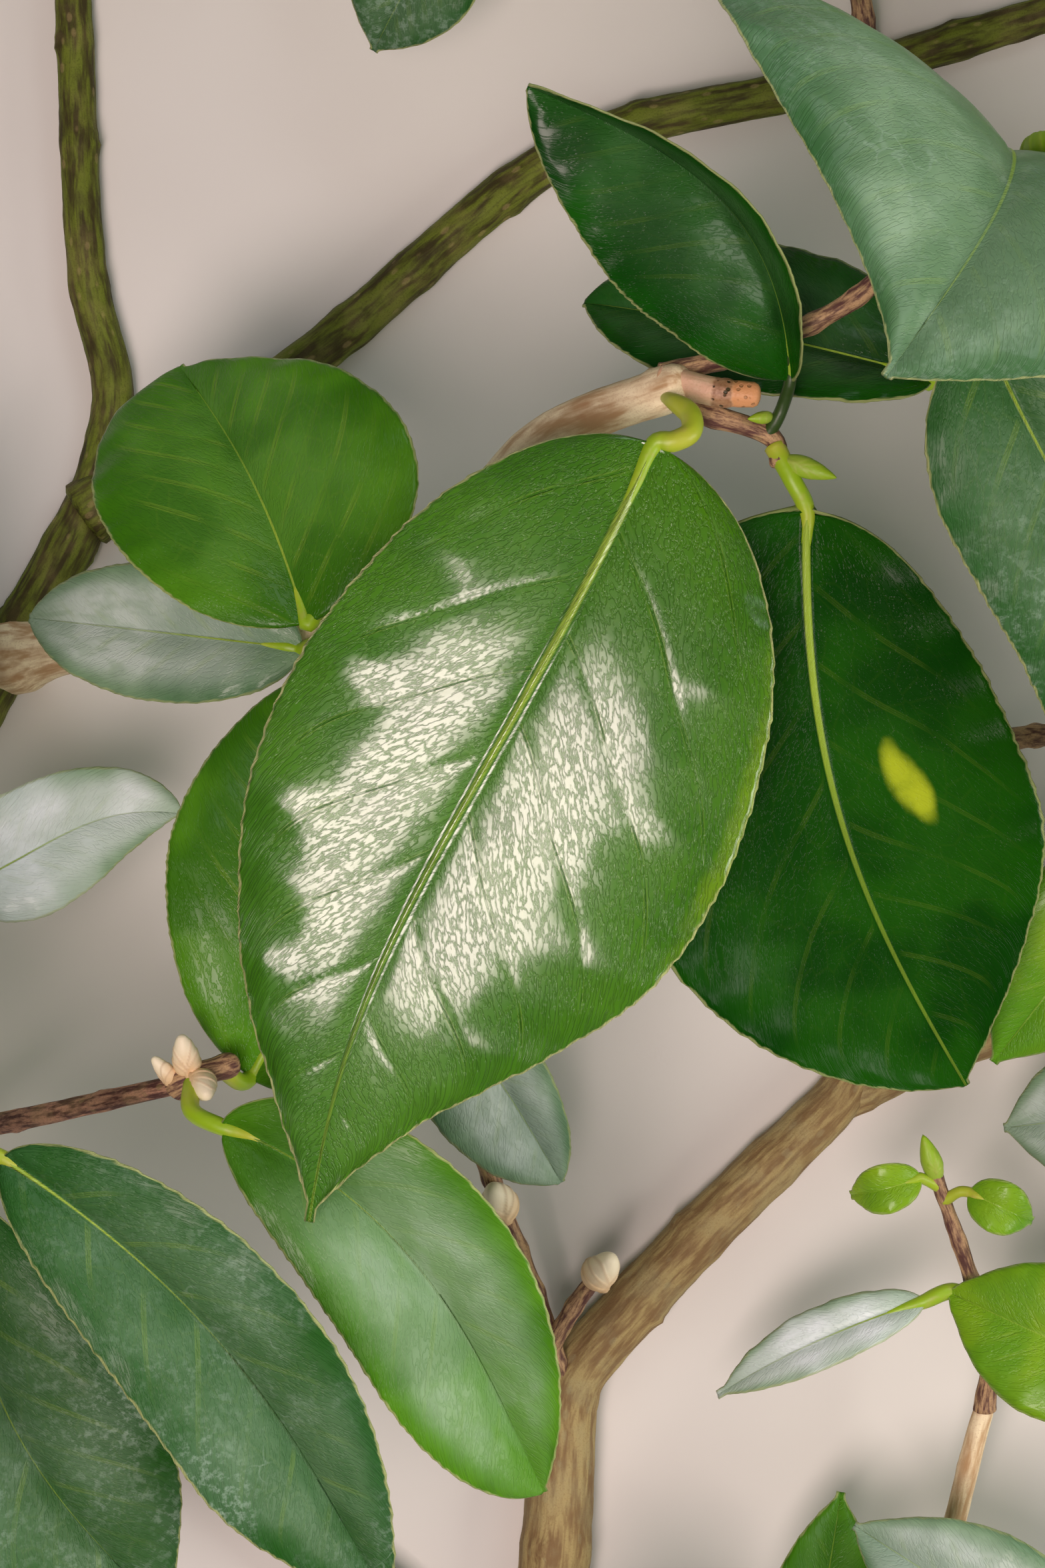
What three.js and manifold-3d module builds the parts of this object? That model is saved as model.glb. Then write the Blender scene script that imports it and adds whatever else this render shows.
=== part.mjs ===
// A camellia branch, cut from the shrub and laid on its side. Millimetres, +Z up.
// The cut end points along -Y, the limbs lie on the floor and the leafy twigs rise from them.

import * as THREE from 'three';
import { mergeVertices } from 'three/addons/utils/BufferGeometryUtils.js';
import Module from 'manifold-3d';

const wasm = await Module();
wasm.setup();

// Driving dimensions. Places are measured from the middle of the stretch that is seen from above,
// and the whole branch is set over its own middle at the end.
const MIDDLE = { x: -2, y: 10.5 };
const GAP = 0.3;
const LEAF_THICKNESS = 0.9;
const LEAF_TIP_HALF_WIDTH = 0.5;
const PETIOLE_RADII = [0.9, 0.72];
const PETIOLE_SUNK = 3;
const LIMB_SIDES = 8;
const TWIG_SIDES = 5;
const PETIOLE_SIDES = 4;
const LIMB_STEP = 11;
const TWIG_STEP = 9;
const PETIOLE_STEP = 7;
const BUD_SIDES = 5;
const BUD_OUTLINE = [[0, 0], [0.95, 0.3], [0.7, 0.7], [0, 1]];
const SLIVER = 0.02;
const LOOSE_SHARE = 0.01;

// The stretch seen from above: its half width and half height grow by these for each mm below the eye.
const EYE_HEIGHT = 495;
const SEEN_HALF_WIDTH = 0.1143;
const SEEN_HALF_HEIGHT = 0.1714;
const SEEN_MARGIN = 1.5;

// Clear space round a leaf that the rule grows, and how closely a blade and a limb are looked at for it.
const CLEAR_OF_LEAF = 5;
const CLEAR_OF_LIMB = 2.5;
const CLEAR_OF_FLOOR = 1;
const TESTED_ROWS = 8;
const TESTED_ACROSS = [-1, -0.5, 0, 0.5, 1];
const TESTED_STEP = 2;

// Limbs that lie on the floor: [x, y] points, and the height follows the radius.
const LYING_LIMBS = {
  main_stem: { radii: [4.3, 3.5], points: [[-0.5, -127.5], [1, -104.5], [3.5, -82.5], [4.5, -64.5]] },
  right_bough: { radii: [3.3, 2.8], points: [[4.5, -64.5], [19, -48.5], [34.5, -33.5]] },
  right_arm: { radii: [1.9, 1.4], points: [[34.5, -33.5], [51, -27.5], [62.5, -22.5]] },
  right_leader: { radii: [2.5, 2], points: [[34.5, -33.5], [41, -17.5], [45, 2]] },
  left_bough_lower: { radii: [3.5, 3.2], points: [[1, -104.5], [-19, -84], [-38, -68], [-60.5, -48]] },
  left_bough_upper: {
    radii: [3.2, 2.8],
    points: [[-60.5, -48], [-66, -23], [-62.5, -0.5], [-55.5, 13.5], [-47, 29]],
  },
  top_left_bough: {
    radii: [2.4, 1.8],
    points: [[-47, 29], [-44, 42], [-47, 55.5], [-48.5, 84.5], [-49.5, 96]],
  },
  cross_bough: { radii: [2.6, 2], points: [[-47, 29], [-22, 46.5], [4.5, 68], [30, 75], [56.5, 83]] },
};

// Limbs that rise from the lying ones: [x, y, z] points.
const RISING_LIMBS = {
  middle_bough: {
    radii: [2.8, 2.1],
    points: [[-55.5, 13.5, 3], [-37, 16, 17], [-16, 16, 38], [-5.5, 25, 52], [2.5, 33, 61], [14.5, 37, 70.5]],
  },
  pruned_stub: { radii: [1.4, 1.2], points: [[14.5, 37, 70.5], [18, 36.3, 71.5], [21.4, 36, 72]] },
  left_twig: { radii: [1.3, 0.95], points: [[-64, -37.5, 3], [-53, -34.5, 30], [-33.5, -29, 54.5]] },
  right_twig: { radii: [1.6, 1.1], points: [[1.2, -101, 3.8], [25, -100, 4], [42, -88, 8], [48.5, -66, 14]] },
};
// A limb that carries on from another's end starts a gap beyond it.
const CARRIES_ON = {
  right_bough: 'main_stem',
  right_leader: 'right_bough',
  left_bough_upper: 'left_bough_lower',
  top_left_bough: 'left_bough_upper',
  pruned_stub: 'middle_bough',
};

// What a leaf has unless it says otherwise. Halves are the widths left and right of the midrib as seen
// from its foot, fold lifts each half in degrees, bow arches the midrib and sweep bends it to the left.
const LEAF = {
  halves: [10, 10], fold: [8, 8], cup: 0.08, bow: 2, sweep: 0, late: 1, peaks: [0.45, 0.45],
  tapers: [1, 1], roll: 0, rows: 8, columns: 4,
};
const SMALL = { rows: 5, columns: 2 };

// Sprays: the twigs with their points and radii, the leaves that are seen, each with its petiole's points,
// the buds, and what the rule grows where nothing is seen.
const SPRAYS = {
  front_spray: {
    twigs: [
      { radii: [1.15, 0.9], points: [[12.5, 36.6, 69], [16.5, 34.7, 69.5], [23, 32.5, 68.5], [24, 30, 69]] },
    ],
    leaves: [
      {
        petiole: [[18, 34.2, 69.3], [16.8, 33.6, 73.5], [15.2, 32.2, 76.6]],
        base: [12, 31, 77], tip: [-20, -41, 66], halves: [24.3, 19.8], fold: [-1.4, -2], cup: 0.03, bow: 4,
        sweep: -3.5, late: 1.8, peaks: [0.45, 0.43], tapers: [1.4, 1.5], rows: 12,
      },
      {
        petiole: [[23.5, 31.5, 68.7], [25, 28.5, 69.4]],
        base: [26.5, 25.5, 69], tip: [43.5, -29.5, 46], halves: [18.5, 22.5], fold: [2, 10], cup: -0.05, bow: 3,
        sweep: -5, late: 0.9, peaks: [0.55, 0.35], tapers: [1.1, 0.8], rows: 10,
      },
      {
        petiole: [[22.8, 32.5, 68.6], [24, 34.6, 69.6]],
        base: [24.9, 37.6, 69.5], tip: [0.5, 62.5, 86], halves: [12.4, 5], fold: [-4, 76], cup: 0.05, bow: 3,
        sweep: -6, late: 0.9, peaks: [0.5, 0.65], tapers: [0.7, 0.6], rows: 10,
      },
    ],
    buds: [
      { foot: [24, 30.3, 69], tip: [29.2, 28.4, 70.5], radius: 1.1 },
      { foot: [23.4, 34.2, 69.4], tip: [20.9, 33.9, 70.3], radius: 0.7 },
    ],
  },
  upper_right_spray: {
    twigs: [
      {
        radii: [0.95, 0.8],
        points: [
          [13, 38, 69.5], [21, 40.5, 68.5], [30, 44.5, 70.5], [39, 51.5, 80], [50, 58, 86], [62, 62, 84],
        ],
      },
    ],
    leaves: [
      {
        petiole: [[41, 53, 82], [43, 55.5, 83.5]],
        base: [42.5, 56, 87], tip: [29.5, 33, 124], halves: [27, 31], fold: [5, 5], bow: 8,
        sweep: 1.5, late: 1.3, peaks: [0.3, 0.32], tapers: [0.9, 1.5], rows: 10,
      },
      {
        petiole: [[38.5, 51.1, 79.5], [41, 46, 80.5]],
        base: [42, 41, 80], tip: [54.5, -2.5, 64], halves: [13, 11], bow: 3,
        sweep: 5, late: 1.4, peaks: [0.45, 0.3], tapers: [0.9, 0.6],
      },
      {
        petiole: [[33, 46.8, 73.5], [38, 43.5, 66]],
        base: [39, 38.5, 60], tip: [6, 46.5, 52], halves: [8.5, 10.5], roll: 35,
        sweep: 1, late: 0.9, peaks: [0.6, 0.45], tapers: [0.9, 0.6],
      },
    ],
    buds: [{ foot: [46, 55.7, 83.9], tip: [47.5, 57.5, 90], radius: 1.9 }],
    grow: { seed: 11, shoots: 2, leaves: 5, reach: 70 },
  },
  round_leaf_spray: {
    twigs: [{ radii: [0.9, 0.8], points: [[-16, 16, 38], [-17.3, 16.8, 44], [-19.5, 16, 50]] }],
    leaves: [
      {
        petiole: [[-19, 16.3, 48.8], [-20.2, 16, 51.5]],
        base: [-21, 15.5, 52], tip: [-34.5, 42, 34], halves: [15, 16],
        sweep: -1.5, late: 0.9, peaks: [0.55, 0.35], tapers: [0.5, 1.1],
      },
      {
        petiole: [[-17, 16.5, 42.5], [-19.5, 14.5, 41.5]],
        base: [-22, 13.5, 38], tip: [-50.5, 17, 26], halves: [7, 7], tapers: [0.7, 0.7],
      },
    ],
    buds: [],
  },
  left_edge_spray: {
    twigs: [{ radii: [1.1, 0.8], points: [[-65.5, -16, 3], [-69, -12, 20], [-80, -6, 36]] }],
    leaves: [
      {
        petiole: [[-68.8, -12.5, 19], [-63, -12, 28]],
        base: [-57, -10.5, 32], tip: [-35, -3, 26], halves: [6.5, 6.5],
        sweep: 2, late: 1.5, peaks: [0.3, 0.3], tapers: [0.6, 1],
      },
    ],
    buds: [],
    grow: { seed: 23, shoots: 2, leaves: 7, reach: 60 },
  },
  left_twig_spray: {
    twigs: [{ radii: [1.3, 1.1], points: [[-33.3, -28.9, 54.8], [-31.5, -28, 56], [-28, -27, 54]] }],
    leaves: [
      {
        petiole: [[-31.5, -28.2, 56], [-31.5, -31, 60]],
        base: [-28.5, -32.5, 62], tip: [2, -68.5, 52], halves: [10, 10.5], fold: [22, 22],
        sweep: 5.5, late: 0.8, peaks: [0.42, 0.6], tapers: [0.9, 0.6], rows: 10,
      },
      {
        petiole: [[-29, -27.2, 54.5], [-27.5, -28.8, 52]],
        base: [-26.5, -28.5, 50], tip: [-20, 11, 42], halves: [15.5, 15.5], fold: [10, 10], bow: 3,
        sweep: -4, late: 0.9, peaks: [0.5, 0.5], tapers: [0.7, 0.7],
      },
    ],
    buds: [
      { foot: [-32, -28.3, 55.5], tip: [-32.6, -24, 58.2], radius: 1.3 },
      { foot: [-31, -28, 56], tip: [-30, -29.8, 59.8], radius: 1.3 },
      { foot: [-33, -29, 55.3], tip: [-35.5, -26.2, 56.5], radius: 0.9 },
    ],
  },
  corner_spray: {
    twigs: [
      { radii: [1.2, 0.9], points: [[-62, -45, 3.2], [-64, -43, 30], [-58, -38, 56], [-53, -35, 65]] },
    ],
    leaves: [
      {
        petiole: [[-54, -35.6, 63.5], [-51.5, -34.3, 68]],
        base: [-48.5, -35, 68], tip: [-12.5, -79, 58], halves: [9.5, 10.5], fold: [22, 22],
        sweep: 4.5, late: 0.9, peaks: [0.46, 0.6], tapers: [1, 1.2], rows: 10,
      },
      {
        petiole: [[-59, -38.7, 53.5], [-56, -38.2, 59]],
        base: [-53.5, -39.5, 60], tip: [-34, -81, 50], halves: [12.5, 13], fold: [15, 15],
        sweep: -5, late: 0.9, peaks: [0.65, 0.45], tapers: [1.4, 0.9],
      },
    ],
    buds: [],
    grow: { seed: 37, shoots: 2, leaves: 6, reach: 60 },
  },
  bud_spray: {
    twigs: [
      {
        radii: [1.3, 0.7],
        points: [[4.4, -67, 3.4], [2.5, -58, 8], [-2.4, -44, 13], [-7.5, -30, 20], [-10.5, -23, 25]],
      },
      { radii: [1, 0.9], points: [[2.9, -60, 7], [6, -54.5, 11], [8.1, -51.5, 13.5]] },
    ],
    leaves: [
      {
        petiole: [[-9.5, -25.3, 23.4], [-11.5, -20.5, 26.5]],
        base: [-10, -19.5, 26], tip: [4, -41.5, 18], halves: [5, 8], sweep: 0.5, tapers: [0.7, 0.7],
      },
    ],
    buds: [
      { foot: [-1.8, -45.5, 12.5], tip: [-3.2, -42, 17.5], radius: 1.8 },
      { foot: [7.4, -52.4, 12.7], tip: [9.4, -49.4, 17.5], radius: 1.8 },
    ],
  },
  low_right_spray: {
    twigs: [
      { radii: [1, 0.7], points: [[48.6, -65.6, 14.4], [48.4, -57, 18], [42.5, -40, 24]] },
      { radii: [0.8, 0.7], points: [[48.5, -61, 16.5], [58, -66, 22], [65, -63.5, 27]] },
    ],
    leaves: [
      {
        petiole: [[47.5, -54, 19], [44.5, -52.5, 21.5]],
        base: [41.5, -53.5, 22], tip: [20.5, -64, 16], halves: [3.4, 3.4], roll: 30, ...SMALL,
      },
      {
        petiole: [[64.5, -63.7, 26.7], [66.5, -62.5, 28]],
        base: [65, -61.5, 28], tip: [44, -52.5, 22], halves: [8, 8], ...SMALL,
      },
      {
        petiole: [[43, -41.5, 23.5]],
        base: [41, -40.5, 24.5], tip: [34, -42.5, 22], halves: [2.6, 2.6], ...SMALL,
      },
      {
        petiole: [[43.5, -43, 23], [45, -42, 24]],
        base: [46, -42, 24.5], tip: [52.5, -45, 24], halves: [2.8, 2.8], ...SMALL,
      },
    ],
    buds: [{ foot: [42.7, -40.5, 23.8], tip: [41.6, -37, 25.5], radius: 1 }],
    grow: { seed: 5, shoots: 1, leaves: 3, reach: 50 },
  },
  bottom_right_spray: {
    twigs: [
      { radii: [1, 0.8], points: [[40, -89.8, 7.2], [38, -99, 13], [31, -104, 18]] },
      { radii: [0.8, 0.7], points: [[38.2, -98.5, 12.5], [50, -103, 20], [61, -97, 25]] },
    ],
    leaves: [
      {
        petiole: [[32, -103.4, 17.3], [29, -103, 18.5]],
        base: [28.5, -100.5, 18], tip: [33.5, -74.5, 14], halves: [6, 6], ...SMALL,
      },
      {
        petiole: [[60, -97.8, 24.6], [62, -94.5, 26]],
        base: [60, -92, 26], tip: [34.5, -77, 20], halves: [8, 8], ...SMALL,
      },
    ],
    buds: [],
    grow: { seed: 71, shoots: 2, leaves: 5, reach: 60 },
  },
  right_arm_spray: {
    twigs: [{ radii: [1.1, 0.8], points: [[62.9, -22.3, 1.6], [73, -20, 11], [86, -20, 22]] }],
    leaves: [
      {
        petiole: [[72, -20.1, 10.2], [74.5, -27, 18]],
        base: [72, -32, 24], tip: [50.5, -36, 16], halves: [8, 8], ...SMALL,
      },
    ],
    buds: [],
    grow: { seed: 83, shoots: 3, leaves: 7, reach: 60 },
  },
  right_leader_spray: {
    twigs: [{ radii: [1.3, 0.9], points: [[45.1, 2.5, 2.1], [53, 5, 20], [67, 5, 36], [84, 10, 48]] }],
    leaves: [
      {
        petiole: [[64.5, 4.8, 33.8], [67, 1, 38.5]],
        base: [66, -2, 40], tip: [47.5, -28, 34], halves: [8, 8], ...SMALL,
      },
    ],
    buds: [],
    grow: { seed: 97, shoots: 3, leaves: 8, reach: 62 },
  },
  top_left_spray: {
    twigs: [{ radii: [1.4, 0.9], points: [[-49.6, 96.4, 1.8], [-51, 110, 10], [-48, 124, 24]] }],
    leaves: [],
    buds: [],
    grow: { seed: 101, shoots: 3, leaves: 9, reach: 60 },
  },
  top_middle_spray: {
    twigs: [{ radii: [1.2, 0.9], points: [[37.5, 76.8, 2.2], [34, 89, 10], [22, 98, 17], [8, 104, 26]] }],
    leaves: [
      {
        petiole: [[14, 101, 21.5], [2, 97, 25]],
        base: [-6, 92, 25], tip: [-15.5, 76.5, 18], halves: [7, 7], ...SMALL,
      },
    ],
    buds: [],
    grow: { seed: 113, shoots: 3, leaves: 7, reach: 60 },
  },
  top_right_spray: {
    twigs: [{ radii: [1.4, 0.9], points: [[57, 83.1, 1.9], [68, 88, 10], [82, 94, 26]] }],
    leaves: [],
    buds: [],
    grow: { seed: 131, shoots: 3, leaves: 9, reach: 60 },
  },
};

// What the rule gives a leaf and a shoot that it grows. Shares are of the stem that carries them, a pair
// is a lowest and a highest value, and each one is turned round its stem by a set angle from the last.
const GROWN = {
  turn: THREE.MathUtils.degToRad(137.5),
  tries: 14,
  middle: 0.75,
  shoot: {
    lengths: [20, 34], radii: [0.8, 0.65], shares: [0.45, 0.95], ahead: 0.7, rise: 0.35, sag: 1.5,
    tested: 8, hidden: 3,
  },
  leaf: {
    lengths: [38, 60], slimness: [0.21, 0.29], narrower: 0.95, petiole: 5, ahead: 0.5, rise: 0.3, droop: 0.25,
    folds: [8, 22], bows: [1, 5], sweeps: [-2, 2], rolls: [-25, 25], taper: 1.1, span: 0.55, scatter: 0.1,
  },
  bud: { foot: 0.97, length: 4.5, radius: 1.1 },
};

const WOOD = { color: 0x8a6a4c, roughness: 0.8, metalness: 0 };
const CUT_WOOD = { color: 0xb07a4e, roughness: 0.75, metalness: 0 };
const FOLIAGE = { color: 0x2f6a2c, roughness: 0.35, metalness: 0 };

const UP = new THREE.Vector3(0, 0, 1);
const NORTH = new THREE.Vector3(0, 1, 0);
const STEEP = 0.8;

const vector = ([x, y, z]) => new THREE.Vector3(x, y, z);
const mix = ([low, high], share) => low + (high - low) * share;

function smoothCurve(points) {
  return new THREE.CatmullRomCurve3(points.map(vector), false, 'catmullrom');
}

// Side and upward directions square to a curve, kept from turning over along it.
function frameAt(curve, share, reference) {
  const tangent = curve.getTangent(share);
  const side = new THREE.Vector3().crossVectors(tangent, reference).normalize();
  const up = new THREE.Vector3().crossVectors(side, tangent);
  return { tangent, side, up };
}

function referenceFor(curve) {
  const chord = curve.getPoint(1).sub(curve.getPoint(0)).normalize();
  return Math.abs(chord.z) < STEEP ? UP : NORTH;
}

// A tapering round limb along a curve, with flat ends. Grown is how much fatter and longer it is made.
function limbGeometry({ curve, radii, sides, step, grown = 0 }) {
  const steps = Math.max(1, Math.round(curve.getLength() / step));
  const tube = new THREE.CylinderGeometry(1, 1, 1, sides, steps);
  const reference = referenceFor(curve);
  const place = tube.attributes.position;
  for (let i = 0; i < place.count; i += 1) {
    const share = place.getY(i) + 0.5;
    const { tangent, side, up } = frameAt(curve, share, reference);
    const radius = mix(radii, share) + grown;
    const end = share < 0.001 ? -1 : share > 0.999 ? 1 : 0;
    const point = curve.getPoint(share)
      .addScaledVector(side, place.getX(i) * radius)
      .addScaledVector(up, place.getZ(i) * radius)
      .addScaledVector(tangent, end * grown);
    place.setXYZ(i, point.x, point.y, point.z);
  }
  return tube;
}

// A leaf's half width at a share of its length, from 0 to 1: an ellipse up to the widest place, then a taper.
function leafProfile(share, peak, taper) {
  if (share < peak) {
    return Math.sqrt(1 - (1 - share / peak) ** 2);
  }
  const rest = (share - peak) / (1 - peak);
  return (1 - rest * rest) ** taper;
}

// The blade's surface: a point for each share of its length and each place across it, from -1 to 1.
function leafSurface(leaf) {
  const base = vector(leaf.base);
  const chord = vector(leaf.tip).sub(base);
  const length = chord.length();
  const along = chord.clone().normalize();
  const face = UP.clone().addScaledVector(along, -UP.dot(along)).normalize();
  face.applyAxisAngle(along, THREE.MathUtils.degToRad(leaf.roll));
  const left = new THREE.Vector3().crossVectors(face, along);
  return (share, across) => {
    const swing = Math.PI * share ** leaf.late;
    const swingSlope = Math.PI * leaf.late * Math.max(share, 1e-6) ** (leaf.late - 1) * Math.cos(swing);
    const midrib = base.clone()
      .addScaledVector(chord, share)
      .addScaledVector(face, leaf.bow * 4 * share * (1 - share))
      .addScaledVector(left, leaf.sweep * Math.sin(swing));
    const tangent = along.clone().multiplyScalar(length)
      .addScaledVector(face, leaf.bow * 4 * (1 - 2 * share))
      .addScaledVector(left, leaf.sweep * swingSlope)
      .normalize();
    const side = new THREE.Vector3().crossVectors(face, tangent).normalize();
    const lift = new THREE.Vector3().crossVectors(tangent, side);
    const half = across >= 0 ? 0 : 1;
    const out = Math.abs(across);
    const fold = THREE.MathUtils.degToRad(leaf.fold[half]);
    const profile = leafProfile(share, leaf.peaks[half], leaf.tapers[half]);
    const width = Math.max(leaf.halves[half] * profile, LEAF_TIP_HALF_WIDTH);
    const rise = out * Math.sin(fold) + leaf.cup * 4 * out * (1 - out);
    return midrib
      .addScaledVector(side, Math.sign(across) * out * width * Math.cos(fold))
      .addScaledVector(lift, width * rise);
  };
}

// A blade: a box of one layer, bent to the surface, half its thickness to each side.
function bladeGeometry(leaf) {
  const surface = leafSurface(leaf);
  const box = new THREE.BoxGeometry(1, 2, 1, leaf.rows, leaf.columns, 1);
  const place = box.attributes.position;
  const nudge = 0.01;
  for (let i = 0; i < place.count; i += 1) {
    const share = (1 - Math.cos(Math.PI * (place.getX(i) + 0.5))) / 2;
    const across = place.getY(i);
    const ahead = surface(Math.min(1, share + nudge), across);
    const behind = surface(Math.max(0, share - nudge), across);
    const leftward = surface(share, Math.min(1, across + nudge));
    const rightward = surface(share, Math.max(-1, across - nudge));
    const normal = ahead.sub(behind).cross(leftward.sub(rightward)).normalize();
    const point = surface(share, across).addScaledVector(normal, place.getZ(i) * LEAF_THICKNESS);
    place.setXYZ(i, point.x, point.y, point.z);
  }
  return box;
}

// A petiole: a short stalk from its twig into the foot of the blade.
function petioleGeometry(leaf) {
  const surface = leafSurface(leaf);
  const share = PETIOLE_SUNK / vector(leaf.tip).distanceTo(vector(leaf.base));
  const points = [...leaf.petiole, leaf.base, surface(share, 0).toArray()];
  const curve = smoothCurve(points);
  return limbGeometry({ curve, radii: PETIOLE_RADII, sides: PETIOLE_SIDES, step: PETIOLE_STEP });
}

// A bud: a pointed egg on its axis.
function budGeometry({ foot, tip, radius }) {
  const axis = vector(tip).sub(vector(foot));
  const length = axis.length();
  const outline = BUD_OUTLINE.map(([r, y]) => new THREE.Vector2(r * radius, y * length));
  const lathe = new THREE.LatheGeometry(outline, BUD_SIDES);
  lathe.applyQuaternion(new THREE.Quaternion().setFromUnitVectors(NORTH, axis.normalize()));
  lathe.translate(...foot);
  return lathe;
}

function solidOf(geometry) {
  const bare = geometry.clone();
  bare.deleteAttribute('normal');
  bare.deleteAttribute('uv');
  const merged = mergeVertices(bare, 1e-4);
  const mesh = new wasm.Mesh({
    numProp: 3,
    vertProperties: merged.attributes.position.array,
    triVerts: new Uint32Array(merged.index.array),
  });
  return new wasm.Manifold(mesh);
}

// The largest piece of a solid: a loose scrap left by a cut is dropped, but nothing larger may come loose.
function largestPiece(solid, name) {
  const whole = solid.simplify(SLIVER);
  const largest = whole.decompose().reduce((best, piece) => (piece.volume() > best.volume() ? piece : best));
  if (largest.volume() < whole.volume() * (1 - LOOSE_SHARE)) {
    throw new Error(`${name} has come apart`);
  }
  return largest;
}

function meshOf(name, solid, finish) {
  const found = solid.getMesh();
  const geometry = new THREE.BufferGeometry();
  geometry.setAttribute('position', new THREE.BufferAttribute(found.vertProperties, 3));
  geometry.setIndex(new THREE.BufferAttribute(found.triVerts, 1));
  const mesh = new THREE.Mesh(geometry, new THREE.MeshStandardMaterial(finish));
  mesh.name = name;
  return mesh;
}

// A number from 0 to 1 at each call, the same ones for the same seed.
function randomFrom(seed) {
  let state = seed;
  return () => {
    state = (Math.imul(state, 1664525) + 1013904223) >>> 0;
    return state / 2 ** 32;
  };
}

// Each limb's curve: a lying limb's height is its radius, and one that carries on starts past its parent.
function limbCurves() {
  const curves = {};
  for (const [name, { radii, points }] of Object.entries(LYING_LIMBS)) {
    const rest = points.map(([x, y], i) => [x, y, mix(radii, i / (points.length - 1))]);
    curves[name] = { radii, points: rest };
  }
  Object.assign(curves, structuredClone(RISING_LIMBS));
  for (const [name, parent] of Object.entries(CARRIES_ON)) {
    const ending = smoothCurve(curves[parent].points).getTangent(1);
    const start = vector(curves[parent].points.at(-1)).addScaledVector(ending, GAP);
    curves[name].points[0] = [start.x, start.y, curves[name].points[0][2]];
  }
  for (const limb of Object.values(curves)) {
    limb.curve = smoothCurve(limb.points);
  }
  return curves;
}

// Every limb is cut clear of those before it, so that a side limb fits against its parent's bark.
function limbSolids(curves) {
  const solids = {};
  const grown = [];
  for (const [name, limb] of Object.entries(curves)) {
    const shape = { ...limb, sides: LIMB_SIDES, step: LIMB_STEP };
    const cut = grown.reduce((solid, other) => solid.subtract(other), solidOf(limbGeometry(shape)));
    solids[name] = largestPiece(cut, name);
    grown.push(solidOf(limbGeometry({ ...shape, grown: GAP })));
  }
  return { solids, grown };
}

// Whether a point is in the stretch that is seen from above, where the rule adds nothing.
function isSeen(point) {
  const drop = EYE_HEIGHT - point.z;
  return Math.abs(point.x) < drop * SEEN_HALF_WIDTH + SEEN_MARGIN
    && Math.abs(point.y) < drop * SEEN_HALF_HEIGHT + SEEN_MARGIN;
}

function bladePoints(leaf) {
  const surface = leafSurface(leaf);
  const points = [];
  for (let row = 0; row <= TESTED_ROWS; row += 1) {
    for (const across of TESTED_ACROSS) {
      points.push(surface(row / TESTED_ROWS, across));
    }
  }
  return points;
}

function curvePoints(curve, count) {
  return Array.from({ length: count + 1 }, (_, i) => curve.getPoint(i / count));
}

// Keeps what has been placed, and says whether new points are clear of it.
class Room {
  constructor() {
    this.blades = [];
    this.wood = [];
  }

  addBlade(points) {
    this.blades.push(...points);
  }

  addWood(curve, radius) {
    const count = Math.ceil(curve.getLength() / TESTED_STEP);
    curvePoints(curve, count).forEach((point) => this.wood.push({ point, radius }));
  }

  holds(points, centre, reach) {
    return points.every((point) => point.z > CLEAR_OF_FLOOR
      && !isSeen(point)
      && point.distanceTo(centre) < reach
      && this.blades.every((other) => other.distanceTo(point) > CLEAR_OF_LEAF)
      && this.wood.every((other) => other.point.distanceTo(point) > other.radius + CLEAR_OF_LIMB));
  }
}

// The direction that leaves a stem turned round it.
function outwardFrom(stem, share, turn) {
  const { tangent, side, up } = frameAt(stem, share, referenceFor(stem));
  const outward = side.multiplyScalar(Math.cos(turn)).addScaledVector(up, Math.sin(turn));
  return { tangent, outward };
}

// A side shoot that leans along its stem and rises a little.
function growShoot(stem, share, turn, random) {
  const { lengths, ahead, rise, sag } = GROWN.shoot;
  const { tangent, outward } = outwardFrom(stem, share, turn);
  const foot = stem.getPoint(share);
  const heading = tangent.multiplyScalar(ahead).add(outward).addScaledVector(UP, rise).normalize();
  const length = mix(lengths, random());
  const middle = foot.clone().addScaledVector(heading, length / 2).addScaledVector(UP, -sag);
  const end = foot.clone().addScaledVector(heading, length);
  return smoothCurve([foot.toArray(), middle.toArray(), end.toArray()]);
}

// A leaf on its petiole, with its face upwards. Nearer the twig's tip it leans further along the twig.
function growLeaf(twig, share, turn, random) {
  const rule = GROWN.leaf;
  const { tangent, outward } = outwardFrom(twig, share, turn);
  const foot = twig.getPoint(share);
  const heading = tangent.multiplyScalar(rule.ahead * (1 + share)).add(outward)
    .addScaledVector(UP, rule.rise * random()).normalize();
  const length = mix(rule.lengths, random());
  const half = length * mix(rule.slimness, random());
  const base = foot.clone().addScaledVector(heading, rule.petiole);
  const tip = base.clone().addScaledVector(heading, length)
    .addScaledVector(UP, -length * rule.droop * random());
  return {
    ...LEAF,
    ...SMALL,
    petiole: [foot.toArray(), foot.clone().lerp(base, 0.5).toArray()],
    base: base.toArray(),
    tip: tip.toArray(),
    halves: [half, half * rule.narrower],
    fold: [mix(rule.folds, random()), mix(rule.folds, random())],
    bow: mix(rule.bows, random()),
    sweep: mix(rule.sweeps, random()),
    roll: mix(rule.rolls, random()),
    tapers: [rule.taper, rule.taper],
  };
}

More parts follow.
